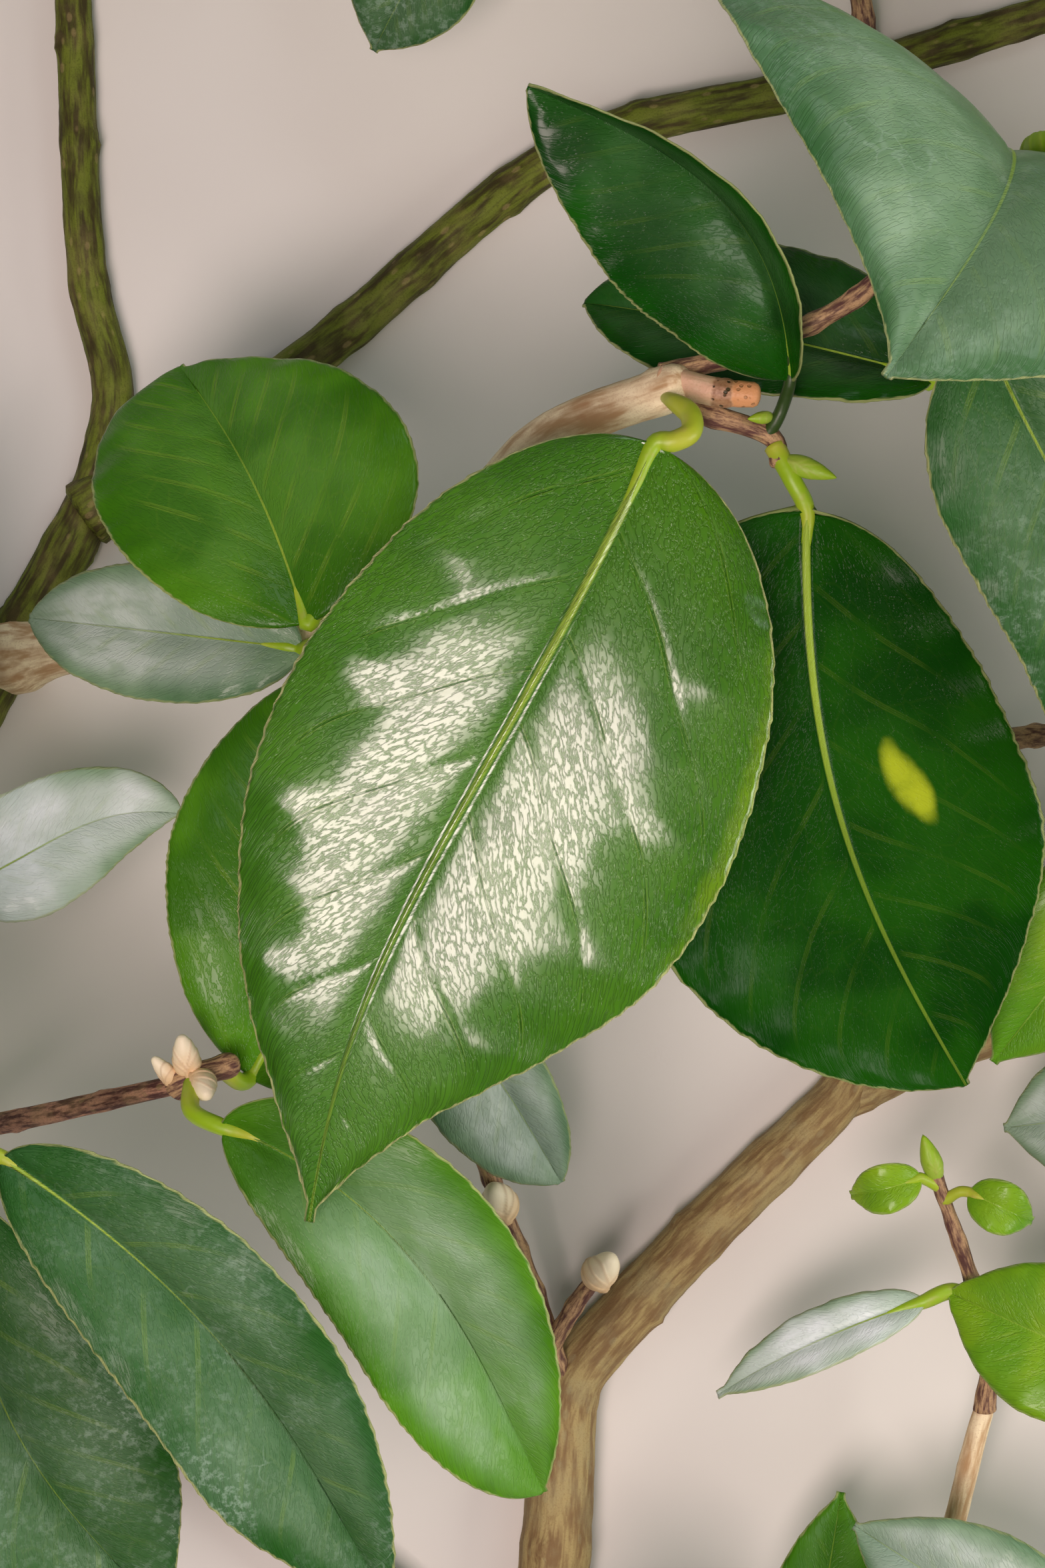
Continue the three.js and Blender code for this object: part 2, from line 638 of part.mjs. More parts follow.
// Shoots first, each where it is clear of all that is placed, then leaves in turn on each shoot and the stem.
function growSpray(spray, room) {
  const { seed, shoots, leaves, reach } = spray.grow;
  const random = randomFrom(seed);
  const stem = smoothCurve(spray.twigs[0].points);
  const centre = stem.getPoint(GROWN.middle);
  const carriers = [];
  const free = (points) => room.holds(points, centre, reach);
  for (let i = 0; i < shoots; i += 1) {
    for (let attempt = 0; attempt < GROWN.tries; attempt += 1) {
      const share = mix(GROWN.shoot.shares, (i + random()) / shoots);
      const shoot = growShoot(stem, share, (i + attempt) * GROWN.turn + random(), random);
      if (free(curvePoints(shoot, GROWN.shoot.tested).slice(GROWN.shoot.hidden))) {
        spray.twigs.push({ radii: GROWN.shoot.radii, points: shoot.points.map((p) => p.toArray()) });
        carriers.push(shoot);
        break;
      }
    }
  }
  carriers.forEach((shoot) => room.addWood(shoot, GROWN.shoot.radii[0]));
  carriers.push(stem);
  const rounds = Math.ceil(leaves / carriers.length);
  for (let i = 0; i < leaves; i += 1) {
    const twig = carriers[i % carriers.length];
    const round = Math.floor(i / carriers.length);
    for (let attempt = 0; attempt < GROWN.tries; attempt += 1) {
      const share = 1 - GROWN.leaf.span * round / rounds - GROWN.leaf.scatter * random();
      const leaf = growLeaf(twig, share, (i + attempt) * GROWN.turn + random(), random);
      const points = bladePoints(leaf);
      if (free(points)) {
        spray.leaves.push(leaf);
        room.addBlade(points);
        break;
      }
    }
  }
  for (const twig of carriers) {
    const tip = twig.getPoint(1).addScaledVector(twig.getTangent(1), GROWN.bud.length);
    const foot = twig.getPoint(GROWN.bud.foot);
    spray.buds.push({ foot: foot.toArray(), tip: tip.toArray(), radius: GROWN.bud.radius });
  }
}

// One node: its twigs, petioles, blades and buds fused into one solid, cut clear of the limbs.
function spraySolid(name, spray, grownLimbs) {
  const pieces = spray.twigs.map(({ radii, points }) => (
    limbGeometry({ curve: smoothCurve(points), radii, sides: TWIG_SIDES, step: TWIG_STEP })));
  for (const leaf of spray.leaves) {
    pieces.push(petioleGeometry(leaf), bladeGeometry(leaf));
  }
  pieces.push(...spray.buds.map(budGeometry));
  const fused = wasm.Manifold.union(pieces.map(solidOf));
  return largestPiece(grownLimbs.reduce((solid, limb) => solid.subtract(limb), fused), name);
}

function buildBranch() {
  const branch = new THREE.Group();
  const curves = limbCurves();
  const { solids, grown } = limbSolids(curves);
  for (const [name, solid] of Object.entries(solids)) {
    branch.add(meshOf(name, solid, name === 'pruned_stub' ? CUT_WOOD : WOOD));
  }
  const room = new Room();
  Object.values(curves).forEach(({ curve, radii }) => room.addWood(curve, radii[0]));
  const sprays = Object.values(SPRAYS);
  for (const spray of sprays) {
    spray.leaves = spray.leaves.map((leaf) => ({ ...LEAF, ...leaf }));
    spray.leaves.forEach((leaf) => room.addBlade(bladePoints(leaf)));
    spray.twigs.forEach(({ points, radii }) => room.addWood(smoothCurve(points), radii[0]));
  }
  sprays.filter((spray) => spray.grow).forEach((spray) => growSpray(spray, room));
  for (const [name, spray] of Object.entries(SPRAYS)) {
    branch.add(meshOf(name, spraySolid(name, spray, grown), FOLIAGE));
  }
  branch.position.set(-MIDDLE.x, -MIDDLE.y, 0);
  return branch;
}

export default buildBranch();
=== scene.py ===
"""A cut camellia branch, dressed round its solids: bark, twigs, petioles, toothed leaves and buds.

The tables are in millimetres, measured from the middle of the stretch that is seen from above, as in the
part's source. MIDDLE sets the branch over its own middle, and MM turns millimetres into metres.
"""

import math

import bmesh
import bpy
import numpy as np
from bpy.props import FloatProperty, FloatVectorProperty, PointerProperty
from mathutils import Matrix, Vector, noise


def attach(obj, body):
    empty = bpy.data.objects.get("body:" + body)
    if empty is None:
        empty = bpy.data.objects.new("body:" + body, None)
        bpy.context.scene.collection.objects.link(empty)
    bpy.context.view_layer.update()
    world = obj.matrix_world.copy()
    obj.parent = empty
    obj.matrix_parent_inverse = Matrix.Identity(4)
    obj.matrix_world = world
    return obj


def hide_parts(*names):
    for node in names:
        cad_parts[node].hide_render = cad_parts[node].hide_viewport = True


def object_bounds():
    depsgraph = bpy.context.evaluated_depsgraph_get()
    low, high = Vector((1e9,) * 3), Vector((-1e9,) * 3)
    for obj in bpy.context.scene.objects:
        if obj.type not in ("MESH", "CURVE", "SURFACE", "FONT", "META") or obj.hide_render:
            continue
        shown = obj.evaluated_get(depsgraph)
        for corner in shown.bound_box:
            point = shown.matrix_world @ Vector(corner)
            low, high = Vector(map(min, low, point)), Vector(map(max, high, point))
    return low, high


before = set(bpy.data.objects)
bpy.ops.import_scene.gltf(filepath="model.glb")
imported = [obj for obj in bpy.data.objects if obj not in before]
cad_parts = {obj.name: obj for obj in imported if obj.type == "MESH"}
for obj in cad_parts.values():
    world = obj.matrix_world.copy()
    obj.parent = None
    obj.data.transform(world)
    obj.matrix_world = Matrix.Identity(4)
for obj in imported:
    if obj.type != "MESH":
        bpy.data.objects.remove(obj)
CAD_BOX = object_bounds()

bl_info = {
    "name": "Camellia Branch",
    "version": (1, 0, 0),
    "blender": (4, 5, 0),
    "location": "3D View > Sidebar > Camellia",
    "description": "Builds a cut camellia branch with bark, twigs, leaves and buds",
    "category": "Object",
}

MM = 0.001
MIDDLE = np.array([-2.0, 10.5, 0.0])
BODY = "root"
BAKE_MAP = "OFBake"
LEAF_PLACE = "leaf_place"
LEAF_RUN = "leaf_run"
LIMB_PLACE = "limb_place"
BUD_PLACE = "bud_place"

UP = np.array([0.0, 0.0, 1.0])
NORTH = np.array([0.0, 1.0, 0.0])
STEEP = 0.8
GAP = 0.3

# The stretch seen from above: its half width and half height grow by these for each mm below the eye.
EYE_HEIGHT = 495
SEEN_HALF_WIDTH = 0.1143
SEEN_HALF_HEIGHT = 0.1714
SEEN_MARGIN = 1.5

# Clear space round a leaf that the rule grows, and how closely a blade and a limb are looked at for it.
CLEAR_OF_LEAF = 5
CLEAR_OF_LIMB = 2.5
CLEAR_OF_FLOOR = 1
TESTED_ROWS = 8
TESTED_ACROSS = (-1, -0.5, 0, 0.5, 1)
TESTED_STEP = 2

# Limbs that lie on the floor: [x, y] points, and the height follows the radius.
LYING_LIMBS = {
    "main_stem": ((4.3, 3.5), [(-0.5, -127.5), (1, -104.5), (3.5, -82.5), (4.5, -64.5)]),
    "right_bough": ((3.3, 2.8), [(4.5, -64.5), (19, -48.5), (34.5, -33.5)]),
    "right_arm": ((1.9, 1.4), [(34.5, -33.5), (51, -27.5), (62.5, -22.5)]),
    "right_leader": ((2.5, 2), [(34.5, -33.5), (41, -17.5), (45, 2)]),
    "left_bough_lower": ((3.5, 3.2), [(1, -104.5), (-19, -84), (-38, -68), (-60.5, -48)]),
    "left_bough_upper": (
        (3.2, 2.8), [(-60.5, -48), (-66, -23), (-62.5, -0.5), (-55.5, 13.5), (-47, 29)],
    ),
    "top_left_bough": (
        (2.4, 1.8), [(-47, 29), (-44, 42), (-47, 55.5), (-48.5, 84.5), (-49.5, 96)],
    ),
    "cross_bough": ((2.6, 2), [(-47, 29), (-22, 46.5), (4.5, 68), (30, 75), (56.5, 83)]),
}

# Limbs that rise from the lying ones: [x, y, z] points.
RISING_LIMBS = {
    "middle_bough": (
        (2.8, 2.1),
        [(-55.5, 13.5, 3), (-37, 16, 17), (-16, 16, 38), (-5.5, 25, 52), (2.5, 33, 61), (14.5, 37, 70.5)],
    ),
    "pruned_stub": ((1.4, 1.2), [(14.5, 37, 70.5), (18, 36.3, 71.5), (21.4, 36, 72)]),
    "left_twig": ((1.3, 0.95), [(-64, -37.5, 3), (-53, -34.5, 30), (-33.5, -29, 54.5)]),
    "right_twig": ((1.6, 1.1), [(1.2, -101, 3.8), (25, -100, 4), (42, -88, 8), (48.5, -66, 14)]),
}

# A limb that carries on from another's end, and the limbs that are dressed as one length of bark.
CARRIES_ON = {
    "right_bough": "main_stem",
    "right_leader": "right_bough",
    "left_bough_upper": "left_bough_lower",
    "top_left_bough": "left_bough_upper",
    "pruned_stub": "middle_bough",
}
BARK_LENGTHS = {
    "right_stem_bark": (["main_stem", "right_bough", "right_leader"], "old_bark"),
    "left_stem_bark": (["left_bough_lower", "left_bough_upper", "top_left_bough"], "dark_bark"),
    "cross_bough_bark": (["cross_bough"], "dark_bark"),
    "right_arm_bark": (["right_arm"], "old_bark"),
    "middle_bough_bark": (["middle_bough"], "tan_bark"),
    "left_twig_bark": (["left_twig"], "purple_bark"),
    "right_twig_bark": (["right_twig"], "tan_bark"),
}

# The length of bark that begins with the branch's cut.
CUT_LENGTH = "right_stem_bark"

# What a leaf has unless it says otherwise. Halves are the widths left and right of the midrib as seen
# from its foot, fold lifts each half in degrees, bow arches the midrib and sweep bends it to the left.
LEAF = {
    "halves": (10, 10), "fold": (8, 8), "cup": 0.08, "bow": 2, "sweep": 0, "late": 1,
    "peaks": (0.45, 0.45), "tapers": (1, 1), "roll": 0, "look": "fresh", "rows": 64, "columns": 36,
    "stalk": 0.9, "stalk_tone": 0, "stalk_foot": 1.15, "ripple": 0.25, "flank": 0.35, "quilt": 0.1,
    "groove": 0.3,
}
BROAD = {"rows": 110, "columns": 60}
SLIM = {"rows": 44, "columns": 20}
YOUNG = {"look": "bright", "stalk": 0.6, "rows": 24, "columns": 12}


def seen_leaf(name, look, petiole, base, tip, halves, grid=None, **more):
    """A leaf that is seen: its look, its petiole's points, its two ends and its half widths."""
    ends = {"name": name, "look": look, "petiole": petiole, "base": base, "tip": tip, "halves": halves}
    return {**LEAF, **(grid or {}), **ends, **more}


def spray_of(twigs, leaves=(), buds=(), grow=None):
    """A spray: its twigs with their radii and points, what is seen on it, and what the rule grows on it."""
    return {"twigs": twigs, "leaves": leaves, "buds": buds, "grow": grow}


# A bud is its foot, its tip, its radius and its look.
SPRAYS = {
    "front_spray": spray_of(
        twigs=[((1.15, 0.9), [(12.5, 36.6, 69), (16.5, 34.7, 69.5), (23, 32.5, 68.5), (24, 30, 69)])],
        leaves=[
            seen_leaf(
                "front_leaf", "polished",
                [(13, 36, 70.5), (14, 35.2, 73.5), (15.4, 33.9, 75.3), (15.4, 32.2, 76.6), (13.8, 31.3, 77)],
                (12, 31, 77), (-20, -41, 66), (24.3, 19.8), rows=170, columns=92, stalk=1.05,
                stalk_foot=0.4, fold=(-1.4, -2), cup=0.03, bow=4, sweep=-3.5, late=1.8, peaks=(0.45, 0.43),
                tapers=(1.4, 1.5), flank=0.05, quilt=0.03, groove=1,
            ),
            seen_leaf(
                "front_right_leaf", "blotched", [(23.5, 31.5, 68.7), (25, 28.5, 69.4)],
                (26.5, 25.5, 69), (43.5, -29.5, 46), (18.5, 22.5), BROAD, fold=(2, 10), cup=-0.05, bow=3,
                sweep=-5, late=0.9, peaks=(0.55, 0.35), tapers=(1.1, 0.8),
            ),
            seen_leaf(
                "front_upper_leaf", "dark", [(22.8, 32.5, 68.6), (24, 34.6, 69.6)],
                (24.9, 37.6, 69.5), (0.5, 62.5, 86), (12.4, 5), BROAD, stalk=0.62, stalk_tone=1,
                fold=(-4, 76), cup=0.05, bow=3, sweep=-6, late=0.9, peaks=(0.5, 0.65), tapers=(0.7, 0.6),
                ripple=0.12,
            ),
        ],
        buds=[
            ((24, 30.3, 69), (29.2, 28.4, 70.5), 1.0, "green"),
            ((23.4, 34.2, 69.4), (20.9, 33.9, 70.3), 0.6, "green"),
        ],
    ),
    "upper_right_spray": spray_of(
        twigs=[
            (
                (0.95, 0.8),
                [
                    (13, 38, 69.5), (21, 40.5, 68.5), (30, 44.5, 70.5), (39, 51.5, 80), (50, 58, 86),
                    (62, 62, 84),
                ],
            ),
        ],
        leaves=[
            seen_leaf(
                "upper_right_leaf", "hazy", [(41, 53, 82), (43, 55.5, 83.5)],
                (42.5, 56, 87), (29.5, 33, 124), (27, 31), BROAD, fold=(5, 5), bow=8, sweep=1.5, late=1.3,
                peaks=(0.3, 0.32), tapers=(0.9, 1.5),
            ),
            seen_leaf(
                "right_edge_leaf", "dusty", [(38.5, 51.1, 79.5), (41, 46, 80.5)],
                (42, 41, 80), (54.5, -2.5, 64), (13, 11), BROAD, bow=3, sweep=5, late=1.4,
                peaks=(0.45, 0.3), tapers=(0.9, 0.6),
            ),
            seen_leaf(
                "under_leaf", "dark", [(33, 46.8, 73.5), (38, 43.5, 66)],
                (39, 38.5, 60), (6, 46.5, 52), (8.5, 10.5), roll=35, sweep=1, late=0.9, peaks=(0.6, 0.45),
                tapers=(0.9, 0.6),
            ),
        ],
        buds=[((46, 55.7, 83.9), (47.5, 57.5, 90), 1.9, "green")],
        grow={"seed": 11, "shoots": 2, "leaves": 5, "reach": 70},
    ),
    "round_leaf_spray": spray_of(
        twigs=[((0.9, 0.8), [(-16, 16, 38), (-17.3, 16.8, 44), (-19.5, 16, 50)])],
        leaves=[
            seen_leaf(
                "round_leaf", "fresh", [(-19, 16.3, 48.8), (-20.2, 16, 51.5)],
                (-21, 15.5, 52), (-34.5, 42, 34), (15, 16), BROAD, sweep=-1.5, late=0.9, peaks=(0.55, 0.35),
                tapers=(0.5, 1.1),
            ),
            seen_leaf(
                "pale_left_leaf", "milky", [(-17, 16.5, 42.5), (-19.5, 14.5, 41.5)],
                (-22, 13.5, 38), (-50.5, 17, 26), (7, 7), tapers=(0.7, 0.7),
            ),
        ],
    ),
    "left_edge_spray": spray_of(
        twigs=[((1.1, 0.8), [(-65.5, -16, 3), (-69, -12, 20), (-80, -6, 36)])],
        leaves=[
            seen_leaf(
                "left_edge_leaf", "pale", [(-68.8, -12.5, 19), (-63, -12, 28)],
                (-57, -10.5, 32), (-35, -3, 26), (6.5, 6.5), sweep=2, late=1.5, peaks=(0.3, 0.3),
                tapers=(0.6, 1),
            ),
        ],
        grow={"seed": 23, "shoots": 2, "leaves": 7, "reach": 60},
    ),
    "left_twig_spray": spray_of(
        twigs=[((1.3, 1.1), [(-33.3, -28.9, 54.8), (-31.5, -28, 56), (-28, -27, 54)])],
        leaves=[
            seen_leaf(
                "low_middle_leaf", "bloomy", [(-31.5, -28.2, 56), (-31.5, -31, 60)],
                (-28.5, -32.5, 62), (2, -68.5, 52), (10, 10.5), BROAD, ripple=0.1, fold=(22, 22), sweep=5.5,
                late=0.8, peaks=(0.42, 0.6), tapers=(0.9, 0.6),
            ),
            seen_leaf(
                "behind_front_leaf", "fresh", [(-29, -27.2, 54.5), (-27.5, -28.8, 52)],
                (-26.5, -28.5, 50), (-20, 11, 42), (15.5, 15.5), BROAD, ripple=0.08, fold=(10, 10), bow=3,
                sweep=-4, late=0.9, peaks=(0.5, 0.5), tapers=(0.7, 0.7),
            ),
        ],
        buds=[
            ((-32, -28.3, 55.5), (-32.6, -24, 58.2), 1.3, "tan"),
            ((-31, -28, 56), (-30, -29.8, 59.8), 1.3, "tan"),
            ((-33, -29, 55.3), (-35.5, -26.2, 56.5), 0.9, "tan"),
        ],
    ),
    "corner_spray": spray_of(
        twigs=[((1.2, 0.9), [(-62, -45, 3.2), (-64, -43, 30), (-58, -38, 56), (-53, -35, 65)])],
        leaves=[
            seen_leaf(
                "low_left_leaf", "dusty", [(-54, -35.6, 63.5), (-51.5, -34.3, 68)],
                (-48.5, -35, 68), (-12.5, -79, 58), (9.5, 10.5), BROAD, ripple=0.1, fold=(22, 22),
                sweep=4.5, late=0.9, peaks=(0.46, 0.6), tapers=(1, 1.2),
            ),
            seen_leaf(
                "corner_leaf", "dusty", [(-59, -38.7, 53.5), (-56, -38.2, 59)],
                (-53.5, -39.5, 60), (-34, -81, 50), (12.5, 13), BROAD, ripple=0.1, fold=(15, 15), sweep=-5,
                late=0.9, peaks=(0.65, 0.45), tapers=(1.4, 0.9),
            ),
        ],
        grow={"seed": 37, "shoots": 2, "leaves": 6, "reach": 60},
    ),
    "bud_spray": spray_of(
        twigs=[
            (
                (1.3, 0.7),
                [(4.4, -67, 3.4), (2.5, -58, 8), (-2.4, -44, 13), (-7.5, -30, 20), (-10.5, -23, 25)],
            ),
            ((1, 0.9), [(2.9, -60, 7), (6, -54.5, 11), (8.1, -51.5, 13.5)]),
        ],
        leaves=[
            seen_leaf(
                "low_small_leaf", "milky", [(-9.5, -25.3, 23.4), (-11.5, -20.5, 26.5)],
                (-10, -19.5, 26), (4, -41.5, 18), (5, 8), sweep=0.5, tapers=(0.7, 0.7),
            ),
        ],
        buds=[
            ((-1.8, -45.5, 12.5), (-3.2, -42, 17.5), 1.8, "tan"),
            ((7.4, -52.4, 12.7), (9.4, -49.4, 17.5), 1.8, "tan"),
        ],
    ),
    "low_right_spray": spray_of(
        twigs=[
            ((1, 0.7), [(48.6, -65.6, 14.4), (48.4, -57, 18), (42.5, -40, 24)]),
            ((0.8, 0.7), [(48.5, -61, 16.5), (58, -66, 22), (65, -63.5, 27)]),
        ],
        leaves=[
            seen_leaf(
                "pale_low_leaf", "pale", [(47.5, -54, 19), (44.5, -52.5, 21.5)],
                (41.5, -53.5, 22), (20.5, -64, 16), (3.4, 3.4), SLIM, roll=30,
            ),
            seen_leaf(
                "low_right_leaf", "bright", [(64.5, -63.7, 26.7), (66.5, -62.5, 28)],
                (65, -61.5, 28), (44, -52.5, 22), (8, 8), SLIM,
            ),
            seen_leaf(
                "tip_leaf_left", "bright", [(43, -41.5, 23.5)],
                (41, -40.5, 24.5), (34, -42.5, 22), (2.6, 2.6), SLIM, stalk=0.6,
            ),
            seen_leaf(
                "tip_leaf_right", "bright", [(43.5, -43, 23), (45, -42, 24)],
                (46, -42, 24.5), (52.5, -45, 24), (2.8, 2.8), SLIM, stalk=0.6,
            ),
        ],
        buds=[((42.7, -40.5, 23.8), (41.6, -37, 25.5), 1, "green")],
        grow={"seed": 5, "shoots": 1, "leaves": 3, "reach": 50},
    ),
    "bottom_right_spray": spray_of(
        twigs=[
            ((1, 0.8), [(40, -89.8, 7.2), (38, -99, 13), (31, -104, 18)]),
            ((0.8, 0.7), [(38.2, -98.5, 12.5), (50, -103, 20), (61, -97, 25)]),
        ],
        leaves=[
            seen_leaf(
                "bottom_leaf", "fresh", [(32, -103.4, 17.3), (29, -103, 18.5)],
                (28.5, -100.5, 18), (33.5, -74.5, 14), (6, 6), SLIM,
            ),
            seen_leaf(
                "bottom_right_leaf", "milky", [(60, -97.8, 24.6), (62, -94.5, 26)],
                (60, -92, 26), (34.5, -77, 20), (8, 8), SLIM,
            ),
        ],
        grow={"seed": 71, "shoots": 2, "leaves": 5, "reach": 60},
    ),
    "right_arm_spray": spray_of(
        twigs=[((1.1, 0.8), [(62.9, -22.3, 1.6), (73, -20, 11), (86, -20, 22)])],
        leaves=[
            seen_leaf(
                "right_arm_leaf", "milky", [(72, -20.1, 10.2), (74.5, -27, 18)],
                (72, -32, 24), (50.5, -36, 16), (8, 8), SLIM,
            ),
        ],
        grow={"seed": 83, "shoots": 3, "leaves": 7, "reach": 60},
    ),
    "right_leader_spray": spray_of(
        twigs=[((1.3, 0.9), [(45.1, 2.5, 2.1), (53, 5, 20), (67, 5, 36), (84, 10, 48)])],
        leaves=[
            seen_leaf(
                "right_leader_leaf", "bright", [(64.5, 4.8, 33.8), (67, 1, 38.5)],
                (66, -2, 40), (47.5, -28, 34), (8, 8), SLIM,
            ),
        ],
        grow={"seed": 97, "shoots": 3, "leaves": 8, "reach": 62},
    ),
    "top_left_spray": spray_of(
        twigs=[((1.4, 0.9), [(-49.6, 96.4, 1.8), (-51, 110, 10), (-48, 124, 24)])],
        grow={"seed": 101, "shoots": 3, "leaves": 9, "reach": 60},
    ),
    "top_middle_spray": spray_of(
        twigs=[((1.2, 0.9), [(37.5, 76.8, 2.2), (34, 89, 10), (22, 98, 17), (8, 104, 26)])],
        leaves=[
            seen_leaf(
                "top_middle_leaf", "dusty", [(14, 101, 21.5), (2, 97, 25)],
                (-6, 92, 25), (-15.5, 76.5, 18), (7, 7), SLIM,
            ),
        ],
        grow={"seed": 113, "shoots": 3, "leaves": 7, "reach": 60},
    ),
    "top_right_spray": spray_of(
        twigs=[((1.4, 0.9), [(57, 83.1, 1.9), (68, 88, 10), (82, 94, 26)])],
        grow={"seed": 131, "shoots": 3, "leaves": 9, "reach": 60},
    ),
}

# What the rule gives a leaf and a shoot that it grows. Shares are of the stem that carries them, a pair
# is a lowest and a highest value, and each one is turned round its stem by a set angle from the last.
TURN = math.radians(137.5)
TRIES = 14
GROWN_MIDDLE = 0.75
GROWN_SHOOT = {
    "lengths": (20, 34), "radii": (0.8, 0.65), "shares": (0.45, 0.95), "ahead": 0.7, "rise": 0.35,
    "sag": 1.5, "tested": 8, "hidden": 3,
}
GROWN_LEAF = {
    "lengths": (38, 60), "slimness": (0.21, 0.29), "narrower": 0.95, "petiole": 5, "ahead": 0.5, "rise": 0.3,
    "droop": 0.25, "folds": (8, 22), "bows": (1, 5), "sweeps": (-2, 2), "rolls": (-25, 25), "taper": 1.1,
    "span": 0.55, "scatter": 0.1,
}
GROWN_BUD = {"foot": 0.97, "length": 4.5, "radius": 1.1}

# The finer growth that the solids leave out: short side shoots with young leaves on each grown shoot.
FINE_SHOOT = {**GROWN_SHOOT, "lengths": (9, 16), "radii": (0.55, 0.4), "shares": (0.3, 0.9), "sag": 0.6}
FINE_LEAF = {**GROWN_LEAF, "lengths": (20, 34), "petiole": 4, "span": 0.6}
FINE_SHOOTS = 3
FINE_LEAVES = 3
FINE_EASE = 0.55
BOX_MARGIN = 3


def mix(pair, share):
    """The value that lies at a share of the way from a pair's first to its second."""
    return pair[0] + (pair[1] - pair[0]) * share


def unit(vector):
    """The vector at length 1, or each row of an array."""
    return vector / np.linalg.norm(vector, axis=-1, keepdims=True)


def turned(vector, axis, angle):
    """The vector turned about a unit axis."""
    across = np.cross(axis, vector)
    along = axis * axis.dot(vector)
    return vector * math.cos(angle) + across * math.sin(angle) + along * (1 - math.cos(angle))


def smooth(value, low, high):
    """From 0 at low to 1 at high, with soft ends."""
    share = np.clip((value - low) / (high - low), 0, 1)
    return share * share * (3 - 2 * share)


class Curve:
    """A smooth curve through its points, even in its parameter from point to point."""

    DELTA = 0.0001
    DIVISIONS = 200

    def __init__(self, points):
        self.points = [np.array(point, float) for point in points]
        first = 2 * self.points[0] - self.points[1]
        last = 2 * self.points[-1] - self.points[-2]
        self.knots = np.array([first, *self.points, last])

    def point(self, share):
        """The point at a share, or a row for each of several shares."""
        spans = len(self.points) - 1
        place = spans * np.asarray(share, float)
        span = np.minimum(np.floor(place).astype(int), spans - 1)
        weight = (place - span)[..., None]
        p0, p1, p2, p3 = (self.knots[span + i] for i in range(4))
        leave, arrive = (p2 - p0) / 2, (p3 - p1) / 2
        cubic = 2 * p1 - 2 * p2 + leave + arrive
        square = -3 * p1 + 3 * p2 - 2 * leave - arrive
        return p1 + leave * weight + square * weight ** 2 + cubic * weight ** 3

    def tangent(self, share):
        ahead = self.point(min(1, share + self.DELTA))
        behind = self.point(max(0, share - self.DELTA))
        return unit(ahead - behind)

    def sample(self, count):
        return self.point(np.arange(count + 1) / count)

    def length(self):
        return float(np.linalg.norm(np.diff(self.sample(self.DIVISIONS), axis=0), axis=1).sum())


def frame_at(curve, share):
    """The tangent, side and upward directions of a curve, kept from turning over along it."""
    chord = unit(curve.point(1) - curve.point(0))
    reference = UP if abs(chord[2]) < STEEP else NORTH
    tangent = curve.tangent(share)
    side = unit(np.cross(tangent, reference))
    return tangent, side, np.cross(side, tangent)


def leaf_profile(share, peak, taper):
    """A leaf's half width at a share of its length: an ellipse up to the widest place, then a taper."""
    rising = np.sqrt(np.clip(1 - (1 - share / peak) ** 2, 0, None))
    rest = np.clip((share - peak) / (1 - peak), 0, 1)
    return np.where(share < peak, rising, (1 - rest * rest) ** taper)


class Blade:
    """A leaf's surface: a point for each share of its length and each place across it, from -1 to 1."""

    NUDGE = 0.01

    def __init__(self, leaf, least=0.5):
        self.leaf = leaf
        self.least = least
        self.base = np.array(leaf["base"], float)
        self.chord = np.array(leaf["tip"], float) - self.base
        self.length = float(np.linalg.norm(self.chord))
        self.along = self.chord / self.length
        face = unit(UP - self.along * self.along[2])
        self.face = turned(face, self.along, math.radians(leaf["roll"]))
        self.left = np.cross(self.face, self.along)

    def width(self, share, across):
        """The half width at each place."""
        leaf = self.leaf
        left, right = (
            np.maximum(half * leaf_profile(share, peak, taper), self.least)
            for half, peak, taper in zip(leaf["halves"], leaf["peaks"], leaf["tapers"])
        )
        return np.where(across >= 0, left, right)

    def points(self, share, across):
        leaf = self.leaf
        share, across = np.broadcast_arrays(np.asarray(share, float), np.asarray(across, float))
        swing = math.pi * share ** leaf["late"]
        swing_slope = math.pi * leaf["late"] * np.maximum(share, 1e-6) ** (leaf["late"] - 1) * np.cos(swing)
        bow = leaf["bow"] * 4 * share * (1 - share)
        midrib = (self.base + share[:, None] * self.chord + bow[:, None] * self.face
                  + (leaf["sweep"] * np.sin(swing))[:, None] * self.left)
        tangent = unit(self.along * self.length + (leaf["bow"] * 4 * (1 - 2 * share))[:, None] * self.face
                       + (leaf["sweep"] * swing_slope)[:, None] * self.left)
        side = unit(np.cross(self.face, tangent))
        lift = np.cross(tangent, side)
        out = np.abs(across)
        fold = np.radians(np.where(across >= 0, leaf["fold"][0], leaf["fold"][1]))
        width = self.width(share, across)
        rise = width * (out * np.sin(fold) + leaf["cup"] * 4 * out * (1 - out))
        return midrib + side * (across * width * np.cos(fold))[:, None] + lift * rise[:, None]

    def normals(self, share, across):
        ahead = self.points(np.minimum(1, share + self.NUDGE), across)
        behind = self.points(np.maximum(0, share - self.NUDGE), across)
        leftward = self.points(share, np.minimum(1, across + self.NUDGE))
        rightward = self.points(share, np.maximum(-1, across - self.NUDGE))
        return unit(np.cross(ahead - behind, leftward - rightward))

    def tested(self):
        """The points that the rule looks at."""
        rows = [row / TESTED_ROWS for row in range(TESTED_ROWS + 1)]
        share = np.repeat(rows, len(TESTED_ACROSS))
        return self.points(share, np.tile(TESTED_ACROSS, TESTED_ROWS + 1))


# The rule for what grows where nothing is seen, as in the part's source


